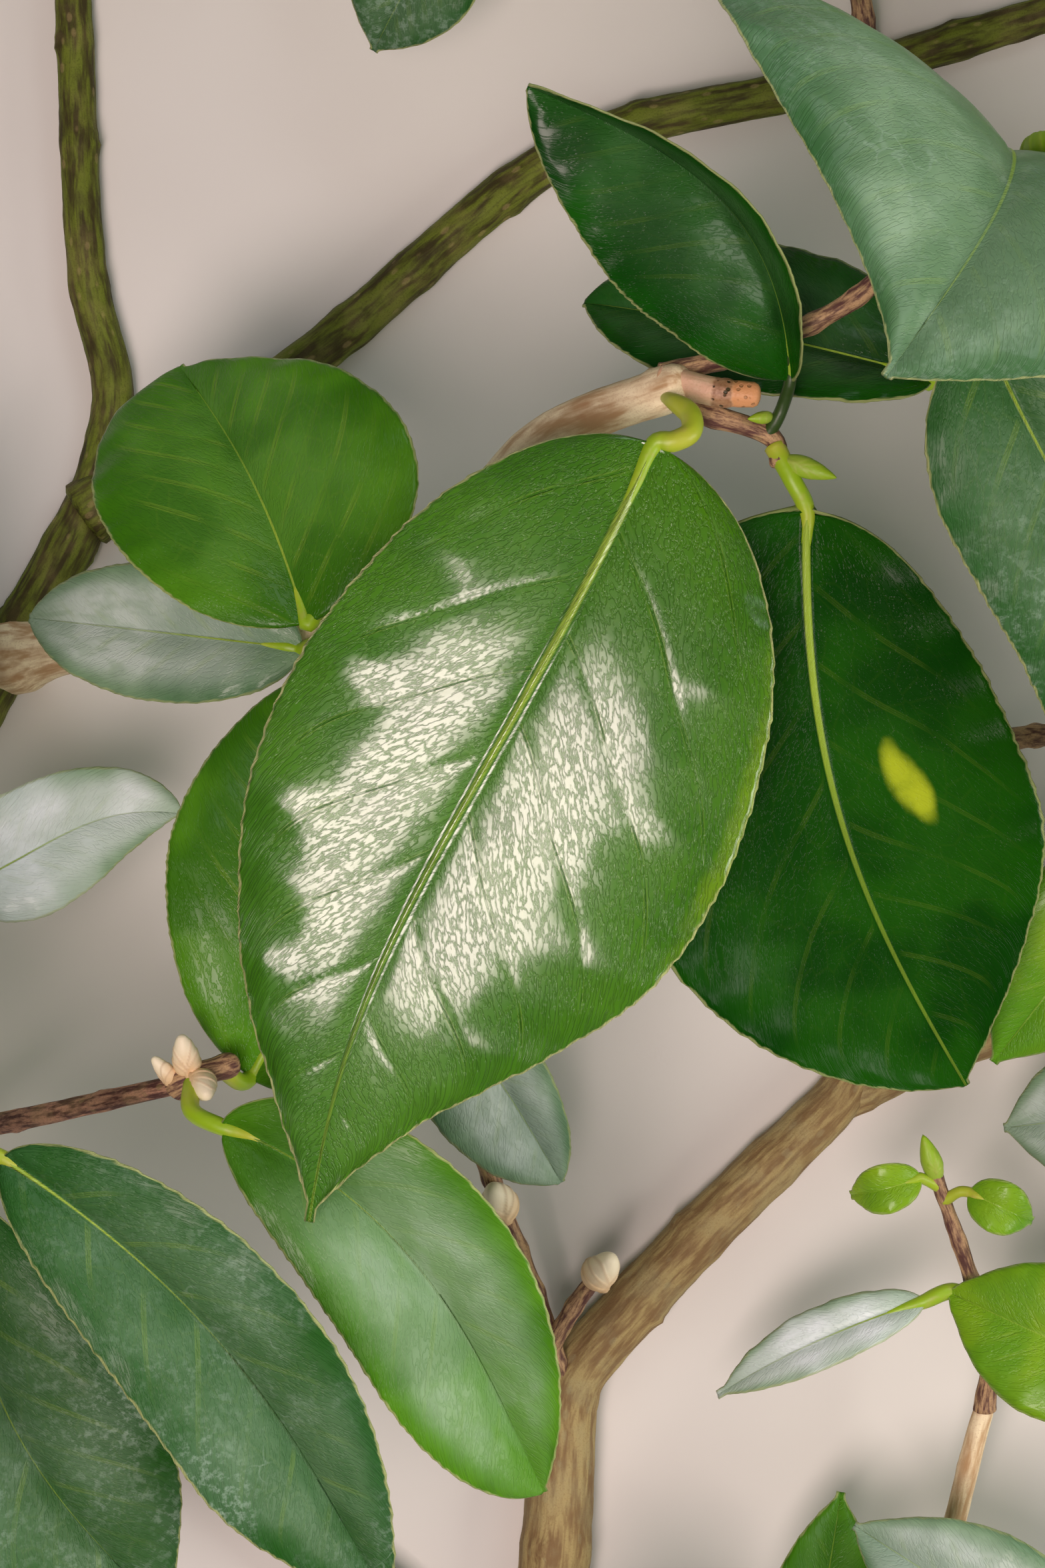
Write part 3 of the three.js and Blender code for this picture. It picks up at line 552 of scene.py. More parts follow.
def random_from(seed):
    """A function that gives a number from 0 to 1 at each call, the same ones for the same seed."""
    state = seed

    def draw():
        nonlocal state
        state = (state * 1664525 + 1013904223) % 2 ** 32
        return state / 2 ** 32

    return draw


def is_seen(points):
    """Which points are in the stretch that is seen from above, where the rule adds nothing."""
    drop = EYE_HEIGHT - points[:, 2]
    beside = np.abs(points[:, 0]) < drop * SEEN_HALF_WIDTH + SEEN_MARGIN
    return beside & (np.abs(points[:, 1]) < drop * SEEN_HALF_HEIGHT + SEEN_MARGIN)


def square_distances(points, others):
    """The squared distance of each point from each of the others."""
    return (points ** 2).sum(1)[:, None] + (others ** 2).sum(1)[None] - 2 * points @ others.T


def in_box(points):
    """Whether all the points are in the branch's box, or just outside it."""
    low, high = (np.array(corner) / MM + MIDDLE for corner in CAD_BOX)
    return ((points > low - BOX_MARGIN) & (points < high + BOX_MARGIN)).all()


class Room:
    """Keeps what has been placed, and says whether new points are clear of it."""

    def __init__(self):
        self.blades = np.empty((0, 3))
        self.wood = np.empty((0, 4))

    def add_blade(self, points):
        self.blades = np.vstack([self.blades, points])

    def add_wood(self, curve, radius):
        points = curve.sample(math.ceil(curve.length() / TESTED_STEP))
        self.wood = np.vstack([self.wood, np.column_stack([points, np.full(len(points), radius)])])

    def holds(self, points, centre, reach, ease=1.0):
        if (points[:, 2] <= CLEAR_OF_FLOOR).any() or is_seen(points).any():
            return False
        if (np.linalg.norm(points - centre, axis=1) >= reach).any():
            return False
        to_blades = square_distances(points, self.blades)
        if (to_blades <= (CLEAR_OF_LEAF * ease) ** 2).any():
            return False
        to_wood = square_distances(points, self.wood[:, :3])
        return (to_wood > (self.wood[:, 3] + CLEAR_OF_LIMB * ease) ** 2).all()


def outward_from(stem, share, turn):
    """The stem's tangent, and the direction that leaves it turned round it."""
    tangent, side, up = frame_at(stem, share)
    return tangent, side * math.cos(turn) + up * math.sin(turn)


def grow_shoot(rule, stem, share, turn, draw):
    """A side shoot that leans along its stem and rises a little."""
    tangent, outward = outward_from(stem, share, turn)
    foot = stem.point(share)
    heading = unit(tangent * rule["ahead"] + outward + UP * rule["rise"])
    length = mix(rule["lengths"], draw())
    middle = foot + heading * length / 2 - UP * rule["sag"]
    return Curve([foot, middle, foot + heading * length])


def grow_leaf(rule, twig, share, turn, draw):
    """A leaf on its petiole, face upwards. Nearer the twig's tip it leans further along the twig."""
    tangent, outward = outward_from(twig, share, turn)
    foot = twig.point(share)
    heading = unit(tangent * rule["ahead"] * (1 + share) + outward + UP * rule["rise"] * draw())
    length = mix(rule["lengths"], draw())
    half = length * mix(rule["slimness"], draw())
    base = foot + heading * rule["petiole"]
    tip = base + heading * length - UP * length * rule["droop"] * draw()
    return {
        **LEAF,
        **SLIM,
        "petiole": [foot, foot + (base - foot) / 2],
        "base": base,
        "tip": tip,
        "halves": (half, half * rule["narrower"]),
        "fold": (mix(rule["folds"], draw()), mix(rule["folds"], draw())),
        "bow": mix(rule["bows"], draw()),
        "sweep": mix(rule["sweeps"], draw()),
        "roll": mix(rule["rolls"], draw()),
        "tapers": (rule["taper"], rule["taper"]),
        "grown": True,
    }


def place_shoots(rule, count, stem, draw, free):
    """Shoots along a stem, each at the first turn where it is clear."""
    found = []
    for i in range(count):
        for attempt in range(TRIES):
            share = mix(rule["shares"], (i + draw()) / count)
            shoot = grow_shoot(rule, stem, share, (i + attempt) * TURN + draw(), draw)
            if free(shoot.sample(rule["tested"])[rule["hidden"]:]):
                found.append(shoot)
                break
    return found


def place_leaves(rule, count, carriers, draw, free, room):
    """Leaves in turn on each carrier, from its tip back, each at the first turn where it is clear."""
    found = []
    rounds = math.ceil(count / len(carriers))
    for i in range(count):
        twig = carriers[i % len(carriers)]
        for attempt in range(TRIES):
            share = 1 - rule["span"] * (i // len(carriers)) / rounds - rule["scatter"] * draw()
            leaf = grow_leaf(rule, twig, share, (i + attempt) * TURN + draw(), draw)
            points = Blade(leaf).tested()
            if free(points):
                found.append(leaf)
                room.add_blade(points)
                break
    return found


def tip_bud(twig, radius, length):
    foot = twig.point(GROWN_BUD["foot"])
    return foot, twig.point(1) + twig.tangent(1) * length, radius, "green"


def grow_spray(spray, room):
    """Adds the shoots, leaves and tip buds that the part's source grows on the spray's first twig."""
    rule = spray["grow"]
    draw = random_from(rule["seed"])
    stem = Curve(spray["twigs"][0][1])
    centre = stem.point(GROWN_MIDDLE)

    def free(points):
        return room.holds(points, centre, rule["reach"])

    shoots = place_shoots(GROWN_SHOOT, rule["shoots"], stem, draw, free)
    for shoot in shoots:
        spray["twigs"].append((GROWN_SHOOT["radii"], shoot.points))
    for shoot in shoots:
        room.add_wood(shoot, GROWN_SHOOT["radii"][0])
    carriers = [*shoots, stem]
    spray["leaves"] += place_leaves(GROWN_LEAF, rule["leaves"], carriers, draw, free, room)
    spray["buds"] += [tip_bud(twig, GROWN_BUD["radius"], GROWN_BUD["length"]) for twig in carriers]
    return carriers


def grow_fine(spray, carriers, room):
    """Adds the finer side shoots with young leaves, within the same reach."""
    rule = spray["grow"]
    draw = random_from(rule["seed"] + 1)
    centre = carriers[-1].point(GROWN_MIDDLE)

    def free(points):
        return in_box(points) and room.holds(points, centre, rule["reach"], FINE_EASE)

    for carrier in carriers:
        shoots = place_shoots(FINE_SHOOT, FINE_SHOOTS, carrier, draw, free)
        for shoot in shoots:
            room.add_wood(shoot, FINE_SHOOT["radii"][0])
            spray["twigs"].append((FINE_SHOOT["radii"], shoot.points))
            leaves = place_leaves(FINE_LEAF, FINE_LEAVES, [shoot], draw, free, room)
            spray["leaves"] += [{**leaf, **YOUNG} for leaf in leaves]
            spray["buds"].append(tip_bud(shoot, GROWN_BUD["radius"] / 2, GROWN_BUD["length"] / 2))


def limb_curves():
    """Each limb's curve and radii: a lying limb's height is its radius, and one that carries on starts
    past its parent."""
    limbs = {}
    for name, (radii, points) in LYING_LIMBS.items():
        last = len(points) - 1
        limbs[name] = (radii, [(x, y, mix(radii, i / last)) for i, (x, y) in enumerate(points)])
    limbs.update(RISING_LIMBS)
    for name, parent in CARRIES_ON.items():
        radii, points = limbs[name]
        parent_points = limbs[parent][1]
        start = np.array(parent_points[-1]) + Curve(parent_points).tangent(1) * GAP
        limbs[name] = (radii, [(start[0], start[1], points[0][2]), *points[1:]])
    return {name: (radii, Curve(points)) for name, (radii, points) in limbs.items()}


def planned_sprays(limbs):
    """The sprays with all that grows on them."""
    room = Room()
    for radii, curve in limbs.values():
        room.add_wood(curve, radii[0])
    sprays = {}
    for name, spray in SPRAYS.items():
        sprays[name] = {**spray, **{kind: [*spray[kind]] for kind in ("leaves", "twigs", "buds")}}
        for leaf in spray["leaves"]:
            room.add_blade(Blade(leaf).tested())
        for radii, points in spray["twigs"]:
            room.add_wood(Curve(points), radii[0])
    growing = [spray for spray in sprays.values() if spray["grow"]]
    grown = [(spray, grow_spray(spray, room)) for spray in growing]
    for spray, carriers in grown:
        grow_fine(spray, carriers, room)
    return sprays


# Meshes

LIMB_TUBE = {"sides": 48, "step": 0.62}
THIN_LIMB_TUBE = {"sides": 28, "step": 0.5}
THIN_LIMB = 2
STUB_TUBE = {"sides": 48, "step": 0.12}
TWIG_TUBE = {"sides": 20, "step": 0.5}
SHOOT_TUBE = {"sides": 10, "step": 1.6}
STALK_TUBE = {"sides": 16, "step": 0.35}
GROWN_STALK = {"sides": 8, "step": 1.2}
CAP_RINGS = 6
MERGE = 1e-6

# A thick sheet's faces below the first level are its underside, and those above the second its top.
UNDER_LEVEL = 0.25
TOP_LEVEL = 0.75

# How far a blade's rim lies outside its top in the bake map.
ISLAND_GAP = 0.012

# Where a leaf's top, underside and stalk lie in its share of the bake map: left, low, right, high.
TOP_ISLAND = (0.02, 0.03, 0.98, 0.56)
UNDER_ISLAND = (0.02, 0.61, 0.98, 0.88)
STALK_ISLAND = (0.02, 0.92, 0.98, 0.98)
WHOLE_ISLAND = (0.02, 0.02, 0.98, 0.98)
WHOLE_CELL = (0, 0, 1, 1)

sheets = {}


def in_island(places, island, cell=WHOLE_CELL):
    """Map places from 0 to 1, set into an island of a cell."""
    low, high = np.array(island[:2]), np.array(island[2:])
    corner, far = np.array(cell[:2]), np.array(cell[2:])
    return corner + (low + places * (high - low)) * (far - corner)


def cells(count):
    """A cell of the bake map for each of a number of pieces."""
    across = math.ceil(math.sqrt(count))
    down = math.ceil(count / across)
    return [
        ((i % across) / across, (i // across) / down, (i % across + 1) / across, (i // across + 1) / down)
        for i in range(count)
    ]


def flat_sheet(rows, columns):
    """A flat grid from -1 to 1 with its bake map."""
    bm = bmesh.new()
    bm.loops.layers.uv.new(BAKE_MAP)
    bmesh.ops.create_grid(bm, x_segments=rows, y_segments=columns, size=1, calc_uvs=True)
    return bm


def to_mesh(bm, name):
    mesh = bpy.data.meshes.new(name)
    bm.to_mesh(mesh)
    bm.free()
    return mesh


def thick_sheet(rows, columns):
    """A flat grid with a second one over it, closed round the rim. One is kept for each size."""
    if (rows, columns) not in sheets:
        bm = flat_sheet(rows, columns)
        risen = bmesh.ops.extrude_face_region(bm, geom=bm.faces[:])["geom"]
        bmesh.ops.translate(bm, vec=(0, 0, 1), verts=[v for v in risen if isinstance(v, bmesh.types.BMVert)])
        bmesh.ops.recalc_face_normals(bm, faces=bm.faces[:])
        for face in bm.faces:
            face.smooth = True
            face.material_index = 1 if face.calc_center_median().z < UNDER_LEVEL else 0
        sheets[rows, columns] = to_mesh(bm, "sheet")
    return sheets[rows, columns]


def vertex_array(mesh):
    places = np.empty(len(mesh.vertices) * 3)
    mesh.vertices.foreach_get("co", places)
    return places.reshape(-1, 3)


def set_vertices(mesh, places):
    mesh.vertices.foreach_set("co", ((places - MIDDLE) * MM).astype(np.float32).ravel())
    mesh.update()


def add_vectors(mesh, name, values):
    mesh.attributes.new(name, "FLOAT_VECTOR", "POINT").data.foreach_set(
        "vector", np.ascontiguousarray(values, np.float32).ravel())


def set_map(mesh, places):
    mesh.uv_layers[BAKE_MAP].data.foreach_set("uv", places.astype(np.float32).ravel())


def set_tone(mesh, tone):
    tones = np.full(len(mesh.vertices), tone, np.float32)
    mesh.attributes.new("tone", "FLOAT", "POINT").data.foreach_set("value", tones)


def set_leaf_map(mesh, flat, cell):
    """Sets a blade's top and underside into their islands, with the rim outside the top's."""
    loops = np.empty(len(mesh.loops), int)
    mesh.loops.foreach_get("vertex_index", loops)
    sizes = np.empty(len(mesh.polygons), int)
    mesh.polygons.foreach_get("loop_total", sizes)
    heights = flat[loops, 2]
    starts = np.concatenate([[0], np.cumsum(sizes)[:-1]])
    face_height = np.repeat(np.add.reduceat(heights, starts) / sizes, sizes)
    places = (flat[loops, :2] + 1) / 2
    top = in_island(places, TOP_ISLAND)
    under = in_island(places, UNDER_ISLAND)
    rim = top + np.where(np.abs(flat[loops, :2]) > 0.9999, np.sign(flat[loops, :2]), 0) * ISLAND_GAP
    is_rim = (face_height > UNDER_LEVEL) & (face_height < TOP_LEVEL)
    chosen = np.where((face_height < UNDER_LEVEL)[:, None], under, top)
    chosen = np.where((is_rim & (heights < 0.5))[:, None], rim, chosen)
    set_map(mesh, in_island(chosen, WHOLE_CELL, cell))


def set_island(mesh, island, cell):
    """Sets a mesh's whole bake map into an island of a cell."""
    places = np.empty(len(mesh.loops) * 2)
    mesh.uv_layers[BAKE_MAP].data.foreach_get("uv", places)
    set_map(mesh, in_island(places.reshape(-1, 2), island, cell))


def closed(mesh):
    """Closes a rolled sheet along its seam and at its poles, with its faces outwards."""
    bm = bmesh.new()
    bm.from_mesh(mesh)
    bmesh.ops.remove_doubles(bm, verts=bm.verts[:], dist=MERGE)
    bmesh.ops.recalc_face_normals(bm, faces=bm.faces[:])
    for face in bm.faces:
        face.smooth = True
    bm.to_mesh(mesh)
    bm.free()
    return mesh


def along_path(points):
    """Tangents, sides and upward directions, each carried on from the last so that they don't turn over."""
    tangents = unit(np.gradient(points, axis=0))
    side = np.cross(tangents[0], UP if abs(tangents[0][2]) < STEEP else NORTH)
    sides = []
    for tangent in tangents:
        side = unit(side - tangent * side.dot(tangent))
        sides.append(side)
    return tangents, np.array(sides), np.cross(sides, tangents)


def even_path(points, step):
    """The path cut into even steps, with the distance of each point along it."""
    gaps = np.linalg.norm(np.diff(points, axis=0), axis=1)
    travelled = np.concatenate([[0], np.cumsum(gaps)])
    distance = np.linspace(0, travelled[-1], max(4, round(travelled[-1] / step)) + 1)
    return np.column_stack([np.interp(distance, travelled, points[:, i]) for i in range(3)]), distance


def tube(name, points, radius_at, sides, step, attribute, tone=0.0, relief=None, rounded=(0.0, 0.0),
         island=WHOLE_ISLAND, cell=WHOLE_CELL, lying=False, cut_start=False):
    """A closed tube along a path. The radius follows radius_at, a relief is laid on it, and an end is
    flat, or rounded by a share of its radius. A cut start takes the second material."""
    centres, distance = even_path(np.array(points, float), step)
    _, side, up = along_path(centres)
    tangents = unit(np.gradient(centres, axis=0))
    body = np.arange(len(centres))
    close = np.linspace(0, 1, CAP_RINGS + 1)[:-1]
    rows = np.concatenate([np.zeros(CAP_RINGS, int), body, np.full(CAP_RINGS, body[-1])])
    share = np.concatenate([close, np.ones(len(body)), close[::-1]])
    radius = radius_at(distance)[rows]
    round_end = np.sqrt(1 - close ** 2)
    ends = -rounded[0] * round_end, rounded[1] * round_end[::-1]
    push = radius * np.concatenate([ends[0], np.zeros(len(body)), ends[1]])
    bm = flat_sheet(len(rows) - 1, sides)
    mesh = to_mesh(bm, name)
    flat = vertex_array(mesh)
    ring = np.rint((flat[:, 0] + 1) / 2 * (len(rows) - 1)).astype(int)
    angle = (flat[:, 1] + 1) * math.pi
    run = distance[rows][ring] + push[ring]
    outward = np.cos(angle)[:, None] * side[rows][ring] + np.sin(angle)[:, None] * up[rows][ring]
    reach = radius[ring]
    if relief:
        reach = reach + relief(run, angle, reach)
    reach = reach * share[ring]
    places = centres[rows][ring] + outward * reach[:, None] + tangents[rows][ring] * push[ring][:, None]
    if lying:
        places[:, 2] = np.maximum(places[:, 2], 0)
    set_vertices(mesh, places)
    add_vectors(mesh, attribute, np.column_stack([np.cos(angle) * reach, np.sin(angle) * reach, run]))
    set_tone(mesh, tone)
    set_island(mesh, island, cell)
    for face in mesh.polygons if cut_start else ():
        face.material_index = int(ring[list(face.vertices)].max() <= CAP_RINGS)
    return closed(mesh)


def add_object(name, mesh, materials):
    made = bpy.data.objects.new(name, mesh)
    bpy.context.scene.collection.objects.link(made)
    for material in materials:
        mesh.materials.append(material)
    return made


def joined(name, objects):
    """The objects joined into one piece."""
    first = objects[0]
    if len(objects) > 1:
        with bpy.context.temp_override(
            active_object=first, object=first, selected_objects=objects, selected_editable_objects=objects,
        ):
            bpy.ops.object.join()
    first.name = name
    first.data.name = name
    return first


def fit(piece, slot, *nodes):
    """Attaches a finished piece to what it rides on and hides the solids that it stands for. Its slot, the
    finish, is not used.
    """
    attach(piece, BODY)
    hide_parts(*nodes)


# Limbs and twigs

NODE_GAP = 13.0
SCAR_HEIGHT = 0.45
SCAR_GAP = 7

# How many parts a limb and a twig are cut into, and how many points of a limb are smoothed together.
LIMB_SAMPLES = 60
TWIG_SAMPLES = 40
SMOOTHED = 9

# Where the pruned stub's dark ring begins and ends, along it.
STUB_RING = (5.4, 7.1)
STUB_SWELL = 0.08
STUB_BURIED = 2

# How far along each limb its swelling begins, for those that start inside another one.
FORKS = {
    "right_arm": 2.6, "cross_bough": 2.7, "middle_bough": 2.8, "left_twig": 3.0, "right_twig": 3.8,
    "left_bough_lower": 4.0,
}


def bark_relief(strength, seed, nodes=True):
    """Lengthwise ridges, rings and leaf scars on a limb."""

    def relief(run, angle, radius):
        x, y = np.cos(angle) * radius, np.sin(angle) * radius
        broad = [noise.noise((a * 0.9, b * 0.9, c * 0.28 + seed)) for a, b, c in zip(x, y, run)]
        fine = [noise.noise((a * 2.4, b * 2.4, c * 0.9 - seed)) for a, b, c in zip(x, y, run)]
        raised = strength * (np.array(broad) + 0.5 * np.array(fine))
        if nodes:
            count = max(1, int(run.max() / NODE_GAP))
            for i in range(count):
                place = (i + 0.6 + 0.25 * math.sin(seed + 5 * i)) * NODE_GAP
                turn = (i * TURN + seed) % math.tau
                swing = np.abs((angle - turn + math.pi) % math.tau - math.pi) * radius
                apart = run - place
                raised += strength * 1.3 * np.exp(-(apart / 1.5) ** 2)
                scar = np.exp(-(apart / 0.9) ** 2 - (swing / 1.3) ** 2)
                split = 0.9 * np.exp(-((apart - 0.3) / 0.35) ** 2)
                raised += SCAR_HEIGHT * scar * (radius / 3) * (1 - split)
        return raised

    return relief


def chain_path(limbs, names):
    """The path and radii of limbs that carry on from each other, with the steps between them smoothed."""
    points, radii = [], []
    for name in names:
        pair, curve = limbs[name]
        found = curve.sample(LIMB_SAMPLES)
        points.append(found if not points else found[1:])
        widths = np.linspace(pair[0], pair[1], LIMB_SAMPLES + 1)
        radii.append(widths if not radii else widths[1:])
    points, radii = np.vstack(points), np.concatenate(radii)
    even, distance = even_path(points, 1.0)
    gaps = np.concatenate([[0], np.cumsum(np.linalg.norm(np.diff(points, axis=0), axis=1))])
    widths = np.interp(distance, gaps, radii)
    window = np.hanning(SMOOTHED) / np.hanning(SMOOTHED).sum()
    inner = slice(SMOOTHED // 2, -(SMOOTHED // 2))
    for _ in range(2):
        even[inner] = np.column_stack([np.convolve(even[:, i], window, "valid") for i in range(3)])
        widths[inner] = np.convolve(widths, window, "valid")
    return even, distance, widths


def radius_along(distance, widths, start):
    """A limb's radius, with a swelling where it leaves its parent if it has one."""

    def radius_at(run):
        swelling = 0.45 * np.exp(-np.maximum(run - start, 0) / 2.2) if start else 0
        return np.interp(run, distance, widths) * (1 + swelling)

    return radius_at


def twig_relief(strength, seed):
    """Fine lengthwise wrinkles and small leaf scars on a twig."""

    def relief(run, angle, radius):
        x, y = np.cos(angle) * radius, np.sin(angle) * radius
        raised = strength * np.array([
            noise.noise((a * 1.6, b * 1.6, c * 0.5 + seed)) for a, b, c in zip(x, y, run)
        ])
        for i in range(1, 1 + int(run.max() / SCAR_GAP)):
            apart = run - i * SCAR_GAP - math.sin(seed + i * 3)
            raised += radius * 0.16 * np.exp(-(apart / 0.8) ** 2)
        return raised

    return relief


def twig_mesh(name, radii, points, fine, tone, seed, cell):
    curve = Curve(points)
    path = curve.sample(TWIG_SAMPLES)
    length = curve.length()
    detail = TWIG_TUBE if fine else SHOOT_TUBE

    def radius_at(run):
        return np.interp(run, [0, length], radii) * (1 + 0.3 * np.exp(-run / 1.6))

    return tube(name, path, radius_at, **detail, attribute=LIMB_PLACE, tone=tone,
                relief=twig_relief(0.1 if fine else 0.06, seed), rounded=(0.2, 0.6), cell=cell)


# Leaves

# How many side veins each half of a blade has, how they slant and hook, and what share of their pitch
# along the midrib lies between two of them.
VEINS = 8.0
VEIN_SLOPE = 0.8
VEIN_HOOK = 0.6
VEINS_APART = 0.75

# The blade's relief in mm, on a leaf that is as long as FULL_BLADE or longer. A shorter one has less of it.
FULL_BLADE = 60
VEIN_HALF_WIDTH = 0.3
RIB_HEIGHT = 0.32
UNDER_RIB = 0.75
UNDER_VEIN = 0.14
TOOTH_GAP = 2.1
TOOTH_CURVE = 1.6
BLADE_HALF = 0.25
RIM_HALF = 0.13

# The share of a blade that its petiole runs under, and then in shares of the petiole's own radius, how far
# it is sunk there and how thick it is at four places past its foot.
STALK_REACH = 0.22
STALK_SINK = 0.15
STALK_WIDTHS = (0.98, 0.95, 0.72, 0.2)
STALK_SAMPLES = 60


def vein_phase(share, across, along, out, pitch, seed):
    """Counts the side veins along a blade. They leave the midrib forwards and hook ahead near the margin."""
    side = np.clip(across * 30, -1, 1) * 0.22
    wander = 0.05 * np.sin(along / pitch * 1.7 + seed) + 0.03 * np.sin(out * 0.4 + along * 0.12 + seed * 2)
    slope = VEIN_SLOPE + 0.35 * share
    return (along - slope * out) / pitch - VEIN_HOOK * np.abs(across) ** 6 + side + wander


def blade_mesh(name, leaf, seed, cell, sizes):
    """A leaf's blade: midrib, sunk veins with swollen panels between them, toothed margin and underside."""
    blade = Blade(leaf)
    mesh = thick_sheet(leaf["rows"], leaf["columns"]).copy()
    mesh.name = name
    flat = vertex_array(mesh)
    level = (flat[:, 0] + 1) / 2
    share = 0.55 * level + 0.45 * (1 - np.cos(math.pi * level)) / 2
    across = np.sign(flat[:, 1]) * np.abs(flat[:, 1]) ** 1.2
    width = blade.width(share, across)
    along = share * blade.length
    scale = min(1, blade.length / FULL_BLADE)
    pitch = blade.length / VEINS
    body = smooth(share, 0.02, 0.12) * smooth(1 - share, 0.0, 0.06)
    tooth = np.abs(((along + 0.3 * np.sin(along * 1.3 + seed)) / (TOOTH_GAP * scale)) % 1)
    tooth = (tooth ** TOOTH_CURVE) * sizes["tooth"] * scale * body * smooth(np.abs(across), 0.88, 1)
    wavy = leaf["ripple"] * scale * body * smooth(np.abs(across), 0.45, 1) * (
        np.sin(along * 0.42 / scale + seed) + 0.6 * np.sin(along * 0.95 / scale + 2.3 * seed))
    reach = across + np.sign(across) * tooth / width
    places, normals = blade.points(share, reach), blade.normals(share, across)
    out = np.abs(across) * width
    phase = vein_phase(share, across, along, out, pitch, seed)
    apart = np.abs((phase + 0.5) % 1 - 0.5)
    beside = smooth(out, 0.5, 1.6) * smooth(width - out, 0.4, 2.2)
    strength = np.where(np.round(phase) % 2 > 0.5, 1, 0.7)
    groove = np.exp(-(apart * pitch * VEINS_APART / VEIN_HALF_WIDTH) ** 2) * strength
    panel = 0.5 - 0.5 * np.cos(math.tau * phase)
    rib = (0.8 * (1 - share) ** 0.8 + 0.25) * scale
    ridge = np.exp(-(out / (0.3 * rib)) ** 2) - 0.2 * np.exp(-((out - 0.7 * rib) / (0.25 * rib)) ** 2)
    wavy = wavy + leaf["flank"] * scale * (1 - np.exp(-out / (2.2 * scale))) * body
    quilted = leaf["quilt"] * scale * panel * beside
    sunk = sizes["vein"] * leaf["groove"] * scale * groove * beside
    top = RIB_HEIGHT * scale * ridge * (1.1 - share) - sunk + quilted + wavy
    under = UNDER_RIB * scale * np.exp(-(out / (0.7 * rib)) ** 2) * (1.1 - share)
    under += UNDER_VEIN * scale * groove * beside
    half = BLADE_HALF * scale + (RIM_HALF - BLADE_HALF) * scale * smooth(np.abs(across), 0.8, 1)
    upper = flat[:, 2] > 0.5
    height = np.where(upper, half + top, wavy - half - under + quilted)
    set_vertices(mesh, places + normals * height[:, None])
    add_vectors(mesh, LEAF_PLACE, np.column_stack([phase, np.sign(across) * out, width - out]))
    add_vectors(mesh, LEAF_RUN, np.column_stack([share, across, np.full(len(share), pitch * VEINS_APART)]))
    set_tone(mesh, math.sin(seed * 12.9) * 0.5 + 0.5)
    set_leaf_map(mesh, flat, cell)
    return mesh


def stalk_mesh(name, leaf, cell):
    """A petiole from its twig along the underside of the midrib, thinning into it."""
    blade = Blade(leaf)
    ahead = np.linspace(0, STALK_REACH, 9)
    under = blade.points(ahead, 0) - blade.normals(ahead, np.zeros(9)) * STALK_SINK * leaf["stalk"]
    points = [*leaf["petiole"], under[0], under[2], under[5], under[8]]
    curve = Curve(points)
    length = curve.length()
    buried = length - blade.length * STALK_REACH
    detail = GROWN_STALK if leaf.get("grown") else STALK_TUBE

    def radius_at(run):
        widths = np.array([leaf["stalk_foot"], *STALK_WIDTHS]) * leaf["stalk"]
        return np.interp(run, [0, buried * 0.4, buried * 0.85, buried * 1.15, length], widths)

    return tube(name, curve.sample(STALK_SAMPLES), radius_at, **detail, attribute=LIMB_PLACE,
                tone=leaf["stalk_tone"], rounded=(0.2, 0.5), island=STALK_ISLAND, cell=cell)


def leaf_object(name, leaf, seed, cell, looks, sizes):
    faces = [looks[leaf["look"]], looks["under"]]
    blade = add_object(name, blade_mesh(name, leaf, seed, cell, sizes), faces)
    stalk = add_object(name + "_stalk", stalk_mesh(name + "_stalk", leaf, cell), [looks["stalk"]])
    return joined(name, [blade, stalk])


# Buds

# The outline's early share and fullness, how many scales, and how thick one is in radii.
BUD_LOOKS = {
    "green": (0.8, 0.75, 5, 0.04),
    "round": (0.75, 0.55, 6, 0.08),
    "tan": (0.85, 0.42, 5, 0.09),
}
BUD_GRID = (60, 48)
GROWN_BUD_GRID = (14, 10)
SCALE_TURN = TURN * 1.309

# The least radius of a round bud.
ROUND_BUD = 1.85


def bud_mesh(name, foot, tip, radius, look, cell, fine, seed):
    """A bud: an egg wrapped in scales that overlap from its foot to its tip."""
    early, fullness, scales, thick = BUD_LOOKS[look]
    mesh = to_mesh(flat_sheet(*(BUD_GRID if fine else GROWN_BUD_GRID)), name)
    flat = vertex_array(mesh)
    share, angle = (flat[:, 0] + 1) / 2, (flat[:, 1] + 1) * math.pi
    foot, tip = np.array(foot, float), np.array(tip, float)
    axis = unit(tip - foot)
    side = unit(np.cross(axis, UP if abs(axis[2]) < STEEP else NORTH))
    up = np.cross(side, axis)
    outline = np.sin(math.pi * np.clip(share, 0, 1) ** early)
    outline = np.where((share < 1e-6) | (share > 1 - 1e-6), 0, np.clip(outline, 0, 1) ** fullness)
    cover, edge = np.zeros(len(share)), np.zeros(len(share))
    for i in range(scales):
        turn = (i * SCALE_TURN + seed) % math.tau
        reach = 0.4 + 0.62 * i / scales
        swing = np.abs((angle - turn + math.pi) % math.tau - math.pi)
        inside = 1 - (swing / (2.0 - 0.6 * share)) ** 2 - (share / reach) ** 3
        held = smooth(inside, 0, 0.1)
        cover += held
        edge = np.maximum(edge, held * (1 - smooth(inside, 0.1, 0.32)))
    reach = outline * radius * (1 - thick * 1.5 + thick * cover)
    middle = foot + share[:, None] * (tip - foot)
    outward = np.cos(angle)[:, None] * side + np.sin(angle)[:, None] * up
    set_vertices(mesh, middle + outward * reach[:, None])
    add_vectors(mesh, BUD_PLACE, np.column_stack([share, edge, angle / math.tau]))
    set_island(mesh, WHOLE_ISLAND, cell)
    return closed(mesh)


# Materials


